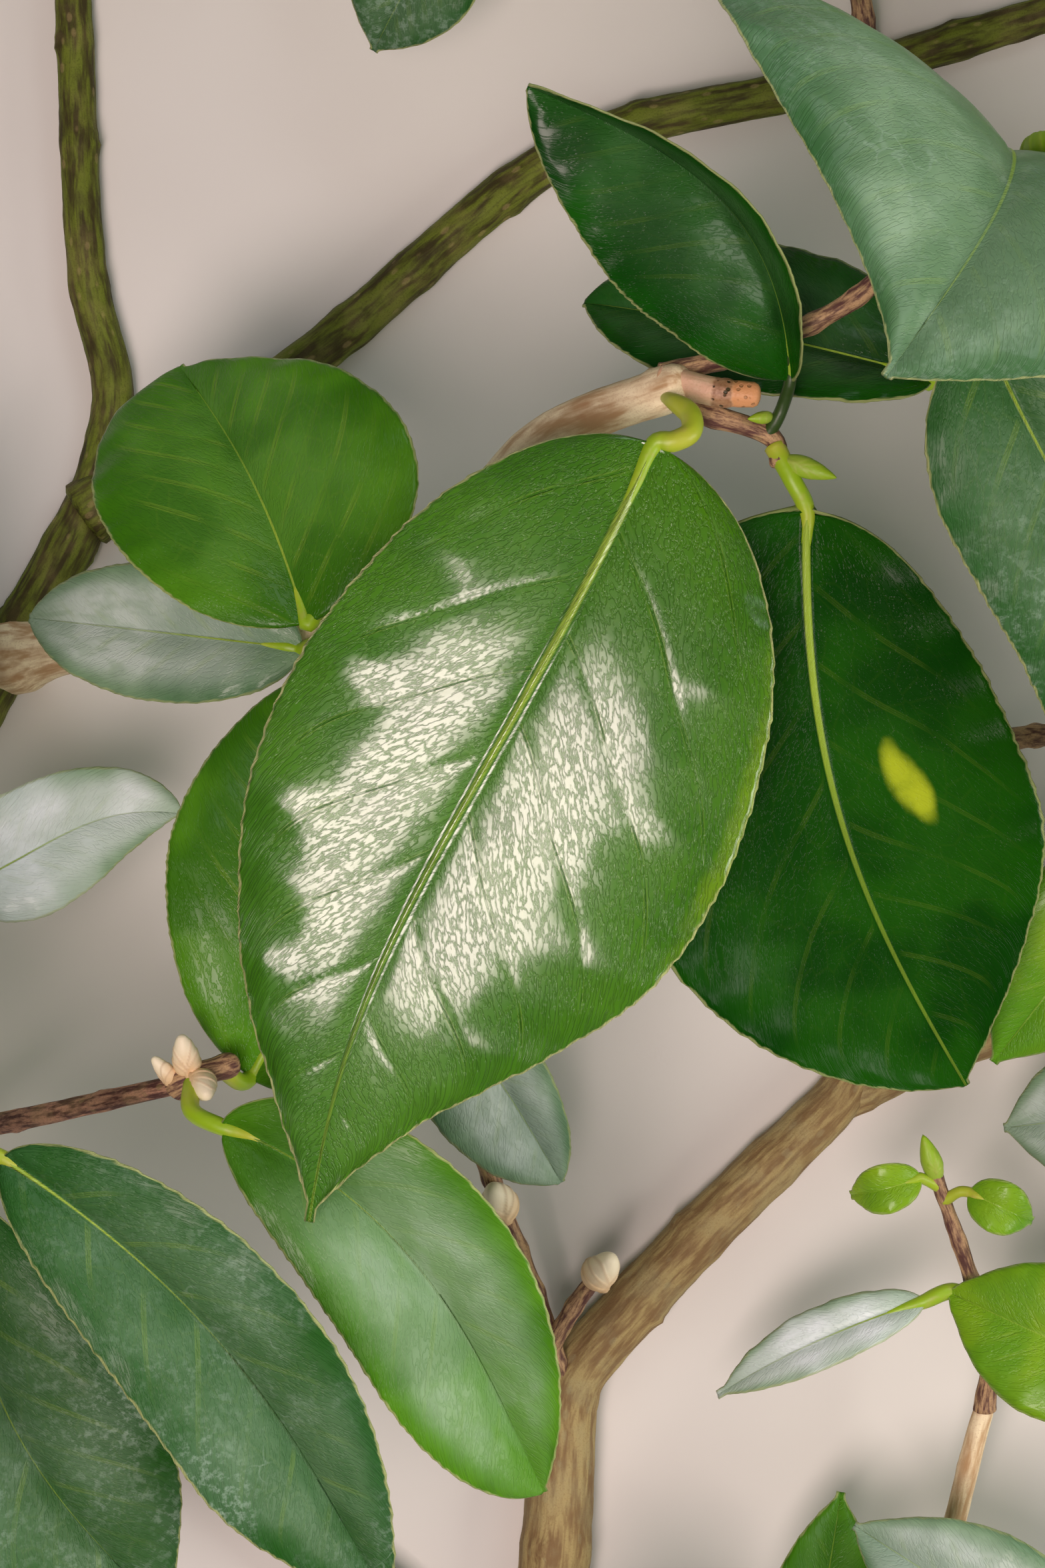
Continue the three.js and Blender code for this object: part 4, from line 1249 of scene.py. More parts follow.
def node(tree, kind, inputs=None, **options):
    """Adds a node with its options, and links or sets its inputs."""
    made = tree.nodes.new(kind)
    for name, value in options.items():
        setattr(made, name, value)
    for key, value in (inputs or {}).items():
        if isinstance(value, bpy.types.NodeSocket):
            tree.links.new(value, made.inputs[key])
        else:
            made.inputs[key].default_value = value
    return made


def calc(tree, operation, *values, clamp=False):
    inputs = dict(enumerate(values))
    return node(tree, "ShaderNodeMath", inputs, operation=operation, use_clamp=clamp).outputs[0]


def times(tree, first, second, clamp=False):
    return calc(tree, "MULTIPLY", first, second, clamp=clamp)


def scaled(tree, value, factor, plus, clamp=False):
    """The value times a factor, plus another value."""
    return calc(tree, "MULTIPLY_ADD", value, factor, plus, clamp=clamp)


def band(tree, value, low, high):
    """From 0 at low to 1 at high, with soft ends. Low may be the greater."""
    inputs = {"Value": value, "From Min": low, "From Max": high}
    return node(tree, "ShaderNodeMapRange", inputs, interpolation_type="SMOOTHSTEP").outputs["Result"]


def as_input(value):
    """What a socket takes: a colour may be given by its name, or as three numbers."""
    if isinstance(value, str):
        value = getattr(settings()[1], value)
    return (*value, 1) if hasattr(value, "__len__") else value


def tint(tree, share, first, second):
    """Mixes two colours."""
    inputs = {0: share, 6: as_input(first), 7: as_input(second)}
    return node(tree, "ShaderNodeMix", inputs, data_type="RGBA").outputs[2]


def grain(tree, vector, scale, detail=3.0, roughness=0.55, dimensions="3D"):
    inputs = {"Vector": vector, "Scale": scale, "Detail": detail, "Roughness": roughness}
    return node(tree, "ShaderNodeTexNoise", inputs, noise_dimensions=dimensions).outputs["Fac"]


def flat_grain(tree, vector, scale, detail=3.0, roughness=0.55):
    """Grain that leaves the vector's third number out."""
    return grain(tree, vector, scale, detail, roughness, "2D")


def attribute(tree, name):
    return node(tree, "ShaderNodeAttribute", attribute_name=name)


def tone_of(tree):
    return attribute(tree, "tone").outputs["Fac"]


def numbers_of(tree, name):
    """The three numbers of a vector attribute."""
    return node(tree, "ShaderNodeSeparateXYZ", {0: attribute(tree, name).outputs["Vector"]}).outputs


def flat_vector(tree, first, second):
    return node(tree, "ShaderNodeCombineXYZ", {0: first, 1: second}).outputs[0]


def stretched(tree, vector, scale):
    return node(tree, "ShaderNodeMapping", {"Vector": vector, "Scale": scale}).outputs[0]


def spots(tree, vector, scale):
    """How far each place is from the nearest of scattered points."""
    return node(tree, "ShaderNodeTexVoronoi", {"Vector": vector, "Scale": scale}).outputs["Distance"]


def crackle(tree, vector, scale, dimensions="3D"):
    """How far each place is from a line of a net."""
    inputs = {"Vector": vector, "Scale": scale}
    return node(tree, "ShaderNodeTexVoronoi", inputs, voronoi_dimensions=dimensions,
                feature="DISTANCE_TO_EDGE").outputs["Distance"]


def object_place(tree):
    return node(tree, "ShaderNodeTexCoord").outputs["Object"]


def new_group(name, inputs, outputs):
    """An empty shader group, with its input and output nodes. A socket is a float, or a colour."""
    tree = bpy.data.node_groups.new(name, "ShaderNodeTree")
    for label, value in inputs.items():
        kind = "NodeSocketColor" if hasattr(value, "__len__") else "NodeSocketFloat"
        socket = tree.interface.new_socket(label, in_out="INPUT", socket_type=kind)
        socket.default_value = (*value, 1) if kind == "NodeSocketColor" else value
    for label, kind in outputs.items():
        tree.interface.new_socket(label, in_out="OUTPUT", socket_type=kind)
    return tree, node(tree, "NodeGroupInput").outputs, node(tree, "NodeGroupOutput").inputs


def use_group(tree, name, inputs=None):
    given = {key: as_input(value) for key, value in (inputs or {}).items()}
    return node(tree, "ShaderNodeGroup", given, node_tree=bpy.data.node_groups[name]).outputs


FLOAT, COLOUR = "NodeSocketFloat", "NodeSocketColor"
BLACK = (0, 0, 0)

# How wide a mesh of the net between the veins is, in mm.
NET_SIZE = 2.1


def make_vein_group():
    """The pattern of a blade: midrib, side veins, the net between them and the margin, and the thin lines
    beside the midrib and the side veins' edges where the leaf skin lays painted shade and painted
    highlights.
    """
    tree, given, put = new_group(
        "Leaf Veins", {"Line": 0.13},
        dict.fromkeys(("Rib", "Rib Groove", "Vein", "Vein Edge", "Net", "Margin"), FLOAT),
    )
    place = numbers_of(tree, LEAF_PLACE)
    run = numbers_of(tree, LEAF_RUN)
    out = calc(tree, "ABSOLUTE", place[1])
    rib = scaled(tree, calc(tree, "SUBTRACT", 1, run[0]), 0.75, 0.28)
    scale = times(tree, rib, times(tree, run[2], 0.1))
    tree.links.new(band(tree, out, times(tree, scale, 0.8), times(tree, scale, 0.4)), put["Rib"])
    # Thin lines beside the midrib, where the leaf skin paints shade.
    lines = calc(tree, "ABSOLUTE", calc(tree, "SUBTRACT", out, times(tree, scale, 0.92)))
    tree.links.new(band(tree, lines, times(tree, scale, 0.22), 0), put["Rib Groove"])
    counted = calc(tree, "FRACT", calc(tree, "ADD", place[0], 0.5))
    apart = times(tree, calc(tree, "ABSOLUTE", calc(tree, "SUBTRACT", counted, 0.5)), run[2])
    beside = times(tree, band(tree, out, 0.2, 1.2), band(tree, place[2], 0.8, 5.0))
    flat = flat_vector(tree, times(tree, place[0], run[2]), place[1])
    uneven = band(tree, flat_grain(tree, flat, 0.22, 1.0), 0.34, 0.62)
    strong = times(tree, beside, scaled(tree, uneven, 0.8, 0.2))
    line = given["Line"]
    vein = times(tree, band(tree, apart, line, times(tree, line, 0.25)), strong)
    tree.links.new(vein, put["Vein"])
    # The edges beside each side vein, where the leaf skin paints highlights.
    near = band(tree, apart, times(tree, line, 2.6), times(tree, line, 1.3))
    far = band(tree, apart, times(tree, line, 0.7), times(tree, line, 1.3))
    tree.links.new(times(tree, times(tree, near, far), strong), put["Vein Edge"])
    net = crackle(tree, flat, 1 / NET_SIZE, "2D")
    tree.links.new(times(tree, band(tree, net, 0.07, 0.01), beside), put["Net"])
    rough = scaled(tree, flat_grain(tree, flat, 0.9, 1.0), 0.36, -0.1)
    tree.links.new(band(tree, place[2], calc(tree, "ADD", rough, 0.2), rough), put["Margin"])


def make_leather_group():
    """The fine wrinkles of a thick waxy leaf, drawn out along its side veins."""
    tree, given, put = new_group("Leaf Leather", {"Size": 1.0}, {"Height": FLOAT})
    place = numbers_of(tree, LEAF_PLACE)
    run = numbers_of(tree, LEAF_RUN)
    drawn = flat_vector(tree, times(tree, place[0], run[2]), times(tree, place[1], 0.6))
    scale = calc(tree, "DIVIDE", 1.45, given["Size"])
    small = calc(tree, "ABSOLUTE", calc(tree, "SUBTRACT", flat_grain(tree, drawn, scale, 2.5, 0.62), 0.5))
    wide = flat_grain(tree, drawn, times(tree, scale, 0.25), 1.0)
    tree.links.new(scaled(tree, wide, 0.6, band(tree, small, 0.0, 0.1)), put["Height"])


# How many squiggles the dust has in a metre, and how far in metres they bend.
SQUIGGLES = 260
SQUIGGLE_BEND = 0.006


def make_dust_group():
    """Dry dust and crust on a leaf: streaks, blots and small squiggles."""
    tree, given, put = new_group("Leaf Dust", {"Amount": 0.5}, {"Mask": FLOAT})
    place = object_place(tree)
    cloud = band(tree, grain(tree, place, 70, 3.0, 0.7), 0.36, 0.74)
    speck = band(tree, grain(tree, place, 1100, 3.0, 0.75), 0.46, 0.66)
    wander = node(tree, "ShaderNodeTexNoise", {"Vector": place, "Scale": SQUIGGLES}).outputs["Color"]
    inputs = {0: wander, 1: [SQUIGGLE_BEND] * 3, 2: place}
    bent = node(tree, "ShaderNodeVectorMath", inputs, operation="MULTIPLY_ADD").outputs[0]
    line = band(tree, crackle(tree, bent, SQUIGGLES), 0.045, 0.01)
    drawn = times(tree, line, band(tree, grain(tree, place, 130, 2.0), 0.56, 0.66))
    heavy = times(tree, cloud, scaled(tree, speck, 0.75, 0.2))
    total = calc(tree, "MAXIMUM", heavy, times(tree, drawn, 0.4))
    run = numbers_of(tree, LEAF_RUN)
    settled = scaled(tree, band(tree, run[0], 0.12, 0.6), 0.75, 0.25)
    settled = times(tree, settled, given["Amount"])
    tree.links.new(times(tree, total, settled, clamp=True), put["Mask"])


def make_spot_group():
    """A soft-edged patch at a place on a blade."""
    tree, given, put = new_group(
        "Leaf Spot", dict(zip(SPOT_INPUTS, (0.5, 0.4, 0.08, 0.2, 0.5))), {"Mask": FLOAT},
    )
    run = numbers_of(tree, LEAF_RUN)
    parts = []
    for value, centre, size in ((run[0], "Along", "Length"), (run[1], "Across", "Width")):
        offset = calc(tree, "DIVIDE", calc(tree, "SUBTRACT", value, given[centre]), given[size])
        parts.append(times(tree, offset, offset))
    ragged = scaled(tree, grain(tree, object_place(tree), 260, 3.0), 1.0, -0.35)
    far = calc(tree, "ADD", calc(tree, "ADD", *parts), ragged)
    low = calc(tree, "SUBTRACT", 1, given["Softness"])
    tree.links.new(band(tree, far, 1, low), put["Mask"])


def make_skin_group():
    """A leaf's upper face: colour, roughness and height from its veins, leather and dust, with painted sheen
    over the middle of each half, painted shade in the sunk veins and beside the midrib, and painted
    highlights along the vein edges.
    """
    tree, given, put = new_group(
        "Leaf Skin",
        {"Deep": BLACK, "Fresh": BLACK, "Rib": BLACK, "Edge": BLACK, "Dust": BLACK, "Haze": BLACK,
         "Haze Amount": 0.5, "Dust Mask": 0.0, "Gloss": 0.3, "Vein Show": 0.5,
         "Vein Dark": 0.5, "Wrinkle": 1.0, "Margin Show": 0.8},
        {"Color": COLOUR, "Roughness": FLOAT, "Height": FLOAT, "Wax": FLOAT},
    )
    veins = use_group(tree, "Leaf Veins")
    leather = use_group(tree, "Leaf Leather")
    run = numbers_of(tree, LEAF_RUN)
    dust = given["Dust Mask"]
    place = object_place(tree)
    tone = tone_of(tree)
    cloud = band(tree, grain(tree, place, 90, 2.0), 0.37, 0.63)
    mottled = scaled(tree, tone, 0.3, times(tree, cloud, 0.6), clamp=True)
    colour = tint(tree, mottled, given["Deep"], given["Fresh"])
    # Painted sheen: a pale grey-green laid in streaky clouds over the middle of each half, away from the
    # margin and fading at the tip, where the leaf would mirror the light.
    far = calc(tree, "ABSOLUTE", run[1])
    middle = times(tree, band(tree, far, 0.96, 0.5), band(tree, run[0], 0.0, 0.3))
    middle = times(tree, middle, scaled(tree, band(tree, run[0], 1.0, 0.75), 0.7, 0.3))
    drawn = stretched(tree, flat_vector(tree, run[0], run[1]), (7, 3.5, 1))
    streak = band(tree, flat_grain(tree, drawn, 1.0, 2.0, 0.6), 0.35, 0.62)
    cloud = times(tree, cloud, scaled(tree, streak, 0.7, 0.3))
    hazy = times(tree, middle, scaled(tree, cloud, 0.5, 0.5))
    colour = tint(tree, times(tree, hazy, given["Haze Amount"]), colour, given["Haze"])
    # Painted shade: the side vein lines are darkened towards the deep green, as if shaded in their sunk
    # grooves.
    dark = times(tree, veins["Vein"], given["Vein Dark"])
    colour = tint(tree, times(tree, dark, 0.75), colour, given["Deep"])
    light = times(tree, calc(tree, "SUBTRACT", veins["Vein"], dark, clamp=True), given["Vein Show"])
    colour = tint(tree, light, colour, given["Rib"])
    # Painted highlight: the edges beside each side vein are paled towards the rib colour, as if lit on the
    # rims of the grooves.
    pale = times(tree, veins["Vein Edge"], given["Vein Show"])
    colour = tint(tree, pale, colour, given["Rib"])
    net = times(tree, veins["Net"], times(tree, given["Vein Show"], 0.16))
    colour = tint(tree, net, colour, given["Rib"])
    fading = scaled(tree, band(tree, run[0], 0.15, 0.65), -0.62, 1.0)
    colour = tint(tree, times(tree, veins["Rib"], fading), colour, given["Rib"])
    # Painted shade: thin lines beside the midrib are darkened towards the deep green, as shade in the
    # grooves along it.
    colour = tint(tree, times(tree, veins["Rib Groove"], 0.4), colour, given["Deep"])
    colour = tint(tree, dust, colour, given["Dust"])
    colour = tint(tree, times(tree, veins["Margin"], given["Margin Show"]), colour, given["Edge"])
    tree.links.new(colour, put["Color"])
    uneven = scaled(tree, grain(tree, place, 160, 1.0), 0.14, calc(tree, "SUBTRACT", given["Gloss"], 0.07))
    rough = scaled(tree, dust, 0.35, uneven, clamp=True)
    tree.links.new(rough, put["Roughness"])
    height = times(tree, leather["Height"], given["Wrinkle"])
    height = scaled(tree, dark, -1.4, height)
    tree.links.new(height, put["Height"])
    worn = scaled(tree, band(tree, leather["Height"], 0.3, 1.15), 0.58, 0.42)
    tree.links.new(times(tree, worn, scaled(tree, dark, -0.8, 1.0)), put["Wax"])


def make_bark_group():
    """Bark: lengthwise streaks, pale patches, dark cracks and pale corky dots. Most looks give it lit and
    shaded copies of one bark colour, so that its streaks and patches are painted light and shade at random
    places; on old bark the pale patches are grey bloom.
    """
    tree, given, put = new_group(
        "Bark",
        {"Dark": BLACK, "Middle": BLACK, "Pale": BLACK, "Grain": 1.0, "Bloom": 0.4, "Cracks": 0.6},
        {"Color": COLOUR, "Roughness": FLOAT, "Height": FLOAT},
    )
    place = attribute(tree, LIMB_PLACE).outputs["Vector"]
    drawn = stretched(tree, place, (1, 1, 0.16))
    long_grain = grain(tree, drawn, times(tree, given["Grain"], 1.3), 3.0, 0.62)
    colour = tint(tree, band(tree, long_grain, 0.36, 0.62), given["Dark"], given["Middle"])
    patch = grain(tree, place, 0.22, 3.0, 0.6)
    colour = tint(tree, times(tree, band(tree, patch, 0.42, 0.68), given["Bloom"]), colour, given["Pale"])
    crack = band(tree, crackle(tree, drawn, times(tree, given["Grain"], 0.9)), 0.09, 0.01)
    cracked = times(tree, times(tree, crack, band(tree, patch, 0.58, 0.42)), given["Cracks"])
    colour = tint(tree, cracked, colour, given["Dark"])
    dot = band(tree, spots(tree, stretched(tree, place, (1, 1, 0.55)), 0.62), 0.24, 0.14)
    colour = tint(tree, times(tree, dot, 0.35), colour, given["Pale"])
    fine = grain(tree, place, 5.0, 1.0, 0.65)
    colour = tint(tree, times(tree, band(tree, fine, 0.5, 0.75), 0.35), colour, given["Dark"])
    tree.links.new(colour, put["Color"])
    tree.links.new(scaled(tree, fine, 0.25, 0.55), put["Roughness"])
    tree.links.new(scaled(tree, fine, 0.3, long_grain), put["Height"])


def make_cut_group():
    """A cut through wood: year rings, rays, a dark pith and a dark rim of bark."""
    tree, given, put = new_group(
        "Cut Wood", {"Sapwood": BLACK, "Ring": BLACK, "Rim": BLACK, "Radius": 4.0, "Rings": 5.0},
        {"Color": COLOUR, "Height": FLOAT},
    )
    place = numbers_of(tree, LIMB_PLACE)
    flat = flat_vector(tree, place[0], place[1])
    far = node(tree, "ShaderNodeVectorMath", {0: flat}, operation="LENGTH").outputs["Value"]
    share = calc(tree, "DIVIDE", far, given["Radius"])
    wobble = scaled(tree, grain(tree, flat, 0.7, 3.0), 0.3, share)
    wave = calc(tree, "FRACT", times(tree, wobble, given["Rings"]))
    ring = band(tree, wave, 0.55, 0.95)
    colour = tint(tree, times(tree, ring, 0.75), given["Sapwood"], given["Ring"])
    speck = grain(tree, flat, 6.0, 3.0, 0.7)
    colour = tint(tree, times(tree, band(tree, speck, 0.52, 0.7), 0.5), colour, given["Ring"])
    colour = tint(tree, band(tree, share, 0.16, 0.08), colour, given["Rim"])
    colour = tint(tree, band(tree, share, 0.84, 0.93), colour, given["Rim"])
    tree.links.new(colour, put["Color"])
    tree.links.new(scaled(tree, ring, -0.5, speck), put["Height"])


GROUP_MAKERS = (
    make_vein_group, make_leather_group, make_dust_group, make_spot_group, make_skin_group, make_bark_group,
    make_cut_group,
)


def new_material(name):
    """Makes a material with only its shader and output, and gives its tree and shader."""
    material = bpy.data.materials.new(name)
    material.use_nodes = True
    return material.node_tree, material.node_tree.nodes["Principled BSDF"]


def finish_shader(tree, shader, colour, roughness, height, depth):
    """Wires a shader's colour, roughness and bump. Depth is the bump's height in mm."""
    bump = node(tree, "ShaderNodeBump", {"Height": height, "Strength": 1.0, "Distance": depth * MM})
    tree.links.new(colour, shader.inputs["Base Color"])
    tree.links.new(bump.outputs[0], shader.inputs["Normal"])
    if isinstance(roughness, bpy.types.NodeSocket):
        tree.links.new(roughness, shader.inputs["Roughness"])
    else:
        shader.inputs["Roughness"].default_value = roughness


# The least dust that a look shows, how deep its wrinkles are in mm, and how rough its wax is.
DUSTY_FROM = 0.1
LEAF_BUMP = 0.075
WAX_ROUGHNESS = 0.13

# The leaf looks: their deep and fresh colours and the colour of their painted sheen, then how much painted
# sheen and dust they have, their shine and gloss, how pale their veins are with painted highlights on the
# vein edges, how much painted shade lies in their sunk veins, their wrinkles and margin, and their coat of
# wax.
LEAF_LOOKS = {
    "polished": (
        "mid_green", "mid_green_light", "bloom_green", 0.4, 0.03, 0.3, 0.19, 0.2, 1.0, 1.1, 1.0, 0.85,
    ),
    "blotched": (
        "deep_green", "deep_green_light", "bloom_green", 0.03, 0.02, 0.08, 0.24, 0.07, 0.15, 0.3, 0.5, 0.05,
    ),
    "dark": (
        "deep_green", "dark_green", "bloom_pale", 0.12, 0.03, 0.12, 0.24, 0.07, 0.2, 0.4, 0.6, 0.15,
    ),
    # The next three looks are mostly painted sheen: greens greyed to nearly white where a leaf would mirror
    # the light, with some dust on them.
    "hazy": (
        "hazy_green", "hazy_green_light", "bloom_pale", 0.85, 0.35, 0.2, 0.32, 0.16, 0.15, 0.45, 0.6, 0.2,
    ),
    "milky": (
        "hazy_green_light", "bloom_pale", "bloom_white", 0.5, 0.1, 0.2, 0.34, 0.2, 0.1, 0.4, 0.5, 0.1,
    ),
    "pale": (
        "bloom_pale", "bloom_white", "bloom_white", 1.0, 0.3, 0.2, 0.34, 0.12, 0.1, 0.4, 0.5, 0.1,
    ),
    "dusty": (
        "dusty_green", "hazy_green", "bloom_pale", 0.25, 0.5, 0.16, 0.38, 0.2, 0.2, 0.5, 0.75, 0.05,
    ),
    "fresh": (
        "mid_green", "fresh_green", "bloom_green", 0.3, 0.04, 0.2, 0.3, 0.25, 0.3, 0.4, 0.7, 0.05,
    ),
    # This look paints sheen over the middle of the halves of a green leaf, with a greener tip and foot.
    "bloomy": (
        "mid_green", "fresh_green", "bloom_pale", 0.95, 0.04, 0.2, 0.34, 0.15, 0.2, 0.4, 0.7, 0.08,
    ),
    "bright": (
        "fresh_green", "bright_green", "bloom_green", 0.1, 0.03, 0.2, 0.32, 0.35, 0.3, 0.45, 0.4, 0.15,
    ),
}

# Patches on a look: each one's place along and across, length, width and softness, its colour and strength.
SPOT_INPUTS = ("Along", "Across", "Length", "Width", "Softness")
LEAF_SPOTS = {
    "polished": [
        ((0.33, 1.0, 0.25, 0.1, 1.0), "bright_green", 0.4),
    ],
    "blotched": [
        ((0.425, 0.34, 0.07, 0.09, 1.0), "blotch_yellow", 1.0),
        ((0.455, 0.39, 0.072, 0.1, 1.0), "blotch_yellow", 1.0),
        ((0.485, 0.44, 0.07, 0.09, 1.0), "blotch_yellow", 1.0),
    ],
    "bloomy": [
        ((0.95, 0.0, 0.4, 1.3, 1.0), "fresh_green", 0.75),
        ((0.0, 0.0, 0.35, 1.3, 1.0), "mid_green", 0.75),
    ],
}

# The looks that each spray deals out to the leaves that the rule grows.
GROWN_LOOKS = {
    "upper_right_spray": ("dark", "hazy", "dark"),
    "left_edge_spray": ("hazy", "fresh", "dark"),
    "corner_spray": ("dusty", "fresh", "dusty"),
    "low_right_spray": ("fresh", "bright"),
    "bottom_right_spray": ("fresh", "bright", "hazy"),
    "right_arm_spray": ("dark", "fresh", "hazy"),
    "right_leader_spray": ("dark", "fresh", "dusty"),
    "top_left_spray": ("fresh", "dark", "bright"),
    "top_middle_spray": ("dark", "fresh", "hazy"),
    "top_right_spray": ("dark", "dusty", "fresh"),
}

# Bark: dark, middle and pale colours, mostly lit and shaded copies of one bark and so painted light and
# shade, the grain's fineness, how much of the pale patches it has (grey bloom on old bark, painted light and
# shade on the others) and how many cracks, and how strong its relief and its bump are.
BARK_LOOKS = {
    "old_bark": ("bark_brown", "bark_straw", "bark_grey", 0.8, 0.35, 0.5, 0.8),
    "dark_bark": ("bark_umber", "bark_olive", "bark_straw", 0.8, 0.15, 0.4, 0.8),
    "tan_bark": ("bark_tan", "bark_sand", "bark_rust", 0.55, 0.4, 0.15, 0.4),
    "purple_bark": ("twig_purple", "twig_mauve", "bark_straw", 1.4, 0.25, 0.3, 0.5),
}

# The sprays whose twigs are joined, and how green a twig is, from brown at 0.
TWIG_PIECES = {
    "front_twigs": ("front_spray", "upper_right_spray", "round_leaf_spray"),
    "left_twigs": ("left_edge_spray", "left_twig_spray", "corner_spray"),
    "low_twigs": ("bud_spray", "low_right_spray", "bottom_right_spray"),
    "right_twigs": ("right_arm_spray", "right_leader_spray"),
    "top_twigs": ("top_left_spray", "top_middle_spray", "top_right_spray"),
}
SHOOT_TONES = {"own": 0.08, "grown": 0.45, "fine": 0.95}

# Each leaf, bud and twig has its own waves, scales and wrinkles: the first one's seed and the steps.
NEAR_LEAF_STEP = 1.7
LEAF_START, LEAF_STEP = 0.4, 1.3
BUD_STEP = 2.1
TWIG_START = 1.5
BUD_PIECES = {"green_buds": "green", "tan_buds": "tan"}


# The plain colours that the leaves, wood and buds are mixed from.
COLOURS = {
    "mid_green": ("The body of a grown leaf", (0.035, 0.15, 0.002)),
    "mid_green_light": ("The lit body of a grown leaf", (0.07, 0.22, 0.007)),
    # The next three colours are painted sheen: pale greens and a near white laid where a leaf would mirror
    # the light.
    "bloom_green": ("The greyer middle of a leaf's halves", (0.13, 0.28, 0.075)),
    "bloom_pale": ("The waxy bloom on a dull leaf", (0.27, 0.42, 0.25)),
    "bloom_white": ("Leaves that are nearly white with bloom", (0.9, 0.98, 1.0)),
    "stalk_dark": ("A petiole in the shade of its leaf", (0.03, 0.07, 0.01)),
    "bark_sand": ("The lit bark of the middle bough", (1.0, 0.86, 0.58)),
    "bark_rust": ("The shaded bark of the middle bough", (0.5, 0.27, 0.13)),
    "deep_green": ("The body of an old leaf", (0.0015, 0.036, 0.0008)),
    "dark_green": ("The lit body of a dark leaf", (0.008, 0.1, 0.001)),
    "deep_green_light": ("The paler parts of an old leaf", (0.01, 0.088, 0.001)),
    # The next two greens are partly painted sheen: a leaf's green greyed as if it mirrored the light.
    "hazy_green": ("A leaf with a waxy bloom", (0.03, 0.12, 0.028)),
    "hazy_green_light": ("The palest bloom on a leaf", (0.1, 0.22, 0.1)),
    "dusty_green": ("A leaf under dry dust", (0.012, 0.09, 0.004)),
    "fresh_green": ("A young leaf", (0.1, 0.3, 0.01)),
    "bright_green": ("The youngest leaves", (0.3, 0.5, 0.012)),
    "blotch_yellow": ("A yellow patch on an old leaf", (0.38, 0.47, 0.02)),
    "rib_green": ("Midribs, veins and petioles", (0.33, 0.49, 0.05)),
    "petiole_yellow": ("The lit side of petioles", (0.46, 0.52, 0.04)),
    "edge_cream": ("The dry line round a leaf", (0.5, 0.55, 0.22)),
    "dust_white": ("Dust and crust on the leaves", (0.5, 0.66, 0.55)),
    "under_green": ("The underside of a leaf", (0.19, 0.31, 0.09)),
    "bark_brown": ("The shaded grain of the bark", (0.23, 0.14, 0.06)),
    "bark_umber": ("The shaded grain of the upper limbs", (0.05, 0.04, 0.01)),
    "bark_olive": ("The upper limbs", (0.15, 0.19, 0.018)),
    "bark_straw": ("The lit bark of the lower limbs", (0.43, 0.33, 0.14)),
    "bark_grey": ("The bloom on old bark", (0.36, 0.32, 0.17)),
    "bark_tan": ("The bark of the middle bough", (0.55, 0.35, 0.18)),
    "twig_purple": ("The shaded side twigs", (0.1, 0.035, 0.03)),
    "twig_mauve": ("The lit side twigs", (0.62, 0.33, 0.22)),
    "shoot_green": ("Young shoots", (0.2, 0.33, 0.05)),
    "bud_tan": ("Dry bud scales", (1.0, 0.9, 0.66)),
    "bud_ochre": ("The foot of dry bud scales", (0.86, 0.6, 0.32)),
    "stub_pink": ("The smooth bark of the pruned stub", (0.78, 0.47, 0.32)),
    "stub_ring": ("The dead ring behind the stub's end", (0.24, 0.1, 0.04)),
    "stub_end": ("The worn end of the stub", (0.7, 0.33, 0.14)),
    "wood_orange": ("Cut and weathered wood", (0.5, 0.24, 0.08)),
    "wood_pale": ("Freshly cut wood", (0.62, 0.45, 0.26)),
}


def label_of(name):
    return name.replace("_", " ").title()


def colour_property(name, description, value):
    return FloatVectorProperty(
        name=label_of(name), description=description, subtype="COLOR", size=3, min=0, max=1, default=value,
    )


def length_property(name, description, value, high, precision=5):
    return FloatProperty(
        name=label_of(name), description=description, default=value, min=0, max=high, precision=precision,
        unit="LENGTH",
    )


def power_property(name, description, value):
    return FloatProperty(
        name=label_of(name), description=description, default=value, min=0, max=200, unit="POWER",
    )


class CamelliaSizes(bpy.types.PropertyGroup):
    """The sizes of the branch's finer shapes."""

    tooth_depth: length_property("tooth_depth", "How far the teeth of a leaf stand out", 0.00022, 0.001)
    vein_depth: length_property("vein_depth", "How deep a leaf's side veins are sunk", 0.00007, 0.0005)
    bark_relief: length_property("bark_relief", "How high the ridges of the bark stand", 0.00016, 0.001)


class CamelliaColours(bpy.types.PropertyGroup):
    """The colours of the table above."""

    __annotations__ = {name: colour_property(name, note, shade) for name, (note, shade) in COLOURS.items()}


class CamelliaStage(bpy.types.PropertyGroup):
    """The floor, the lights and the camera."""

    eye_height: length_property("eye_height", "How high the camera stands over the floor", 0.495, 5, 3)
    lens: FloatProperty(name="Lens", description="Focal length in millimetres", default=105, min=10, max=300)
    key_light: power_property("key_light", "Power of the large soft light", 3.8)
    fill_light: power_property("fill_light", "Power of the weaker light", 1.8)
    low_light: power_property("low_light", "Power of the light from the side", 2.4)
    sky: FloatProperty(name="Sky", description="Strength of the even light", default=0.12, min=0, max=5)
    floor: colour_property("floor", "The plain floor", (0.8, 0.78, 0.74))


def settings():
    scene = bpy.context.scene
    return scene.camellia_sizes, scene.camellia_colours, scene.camellia_stage


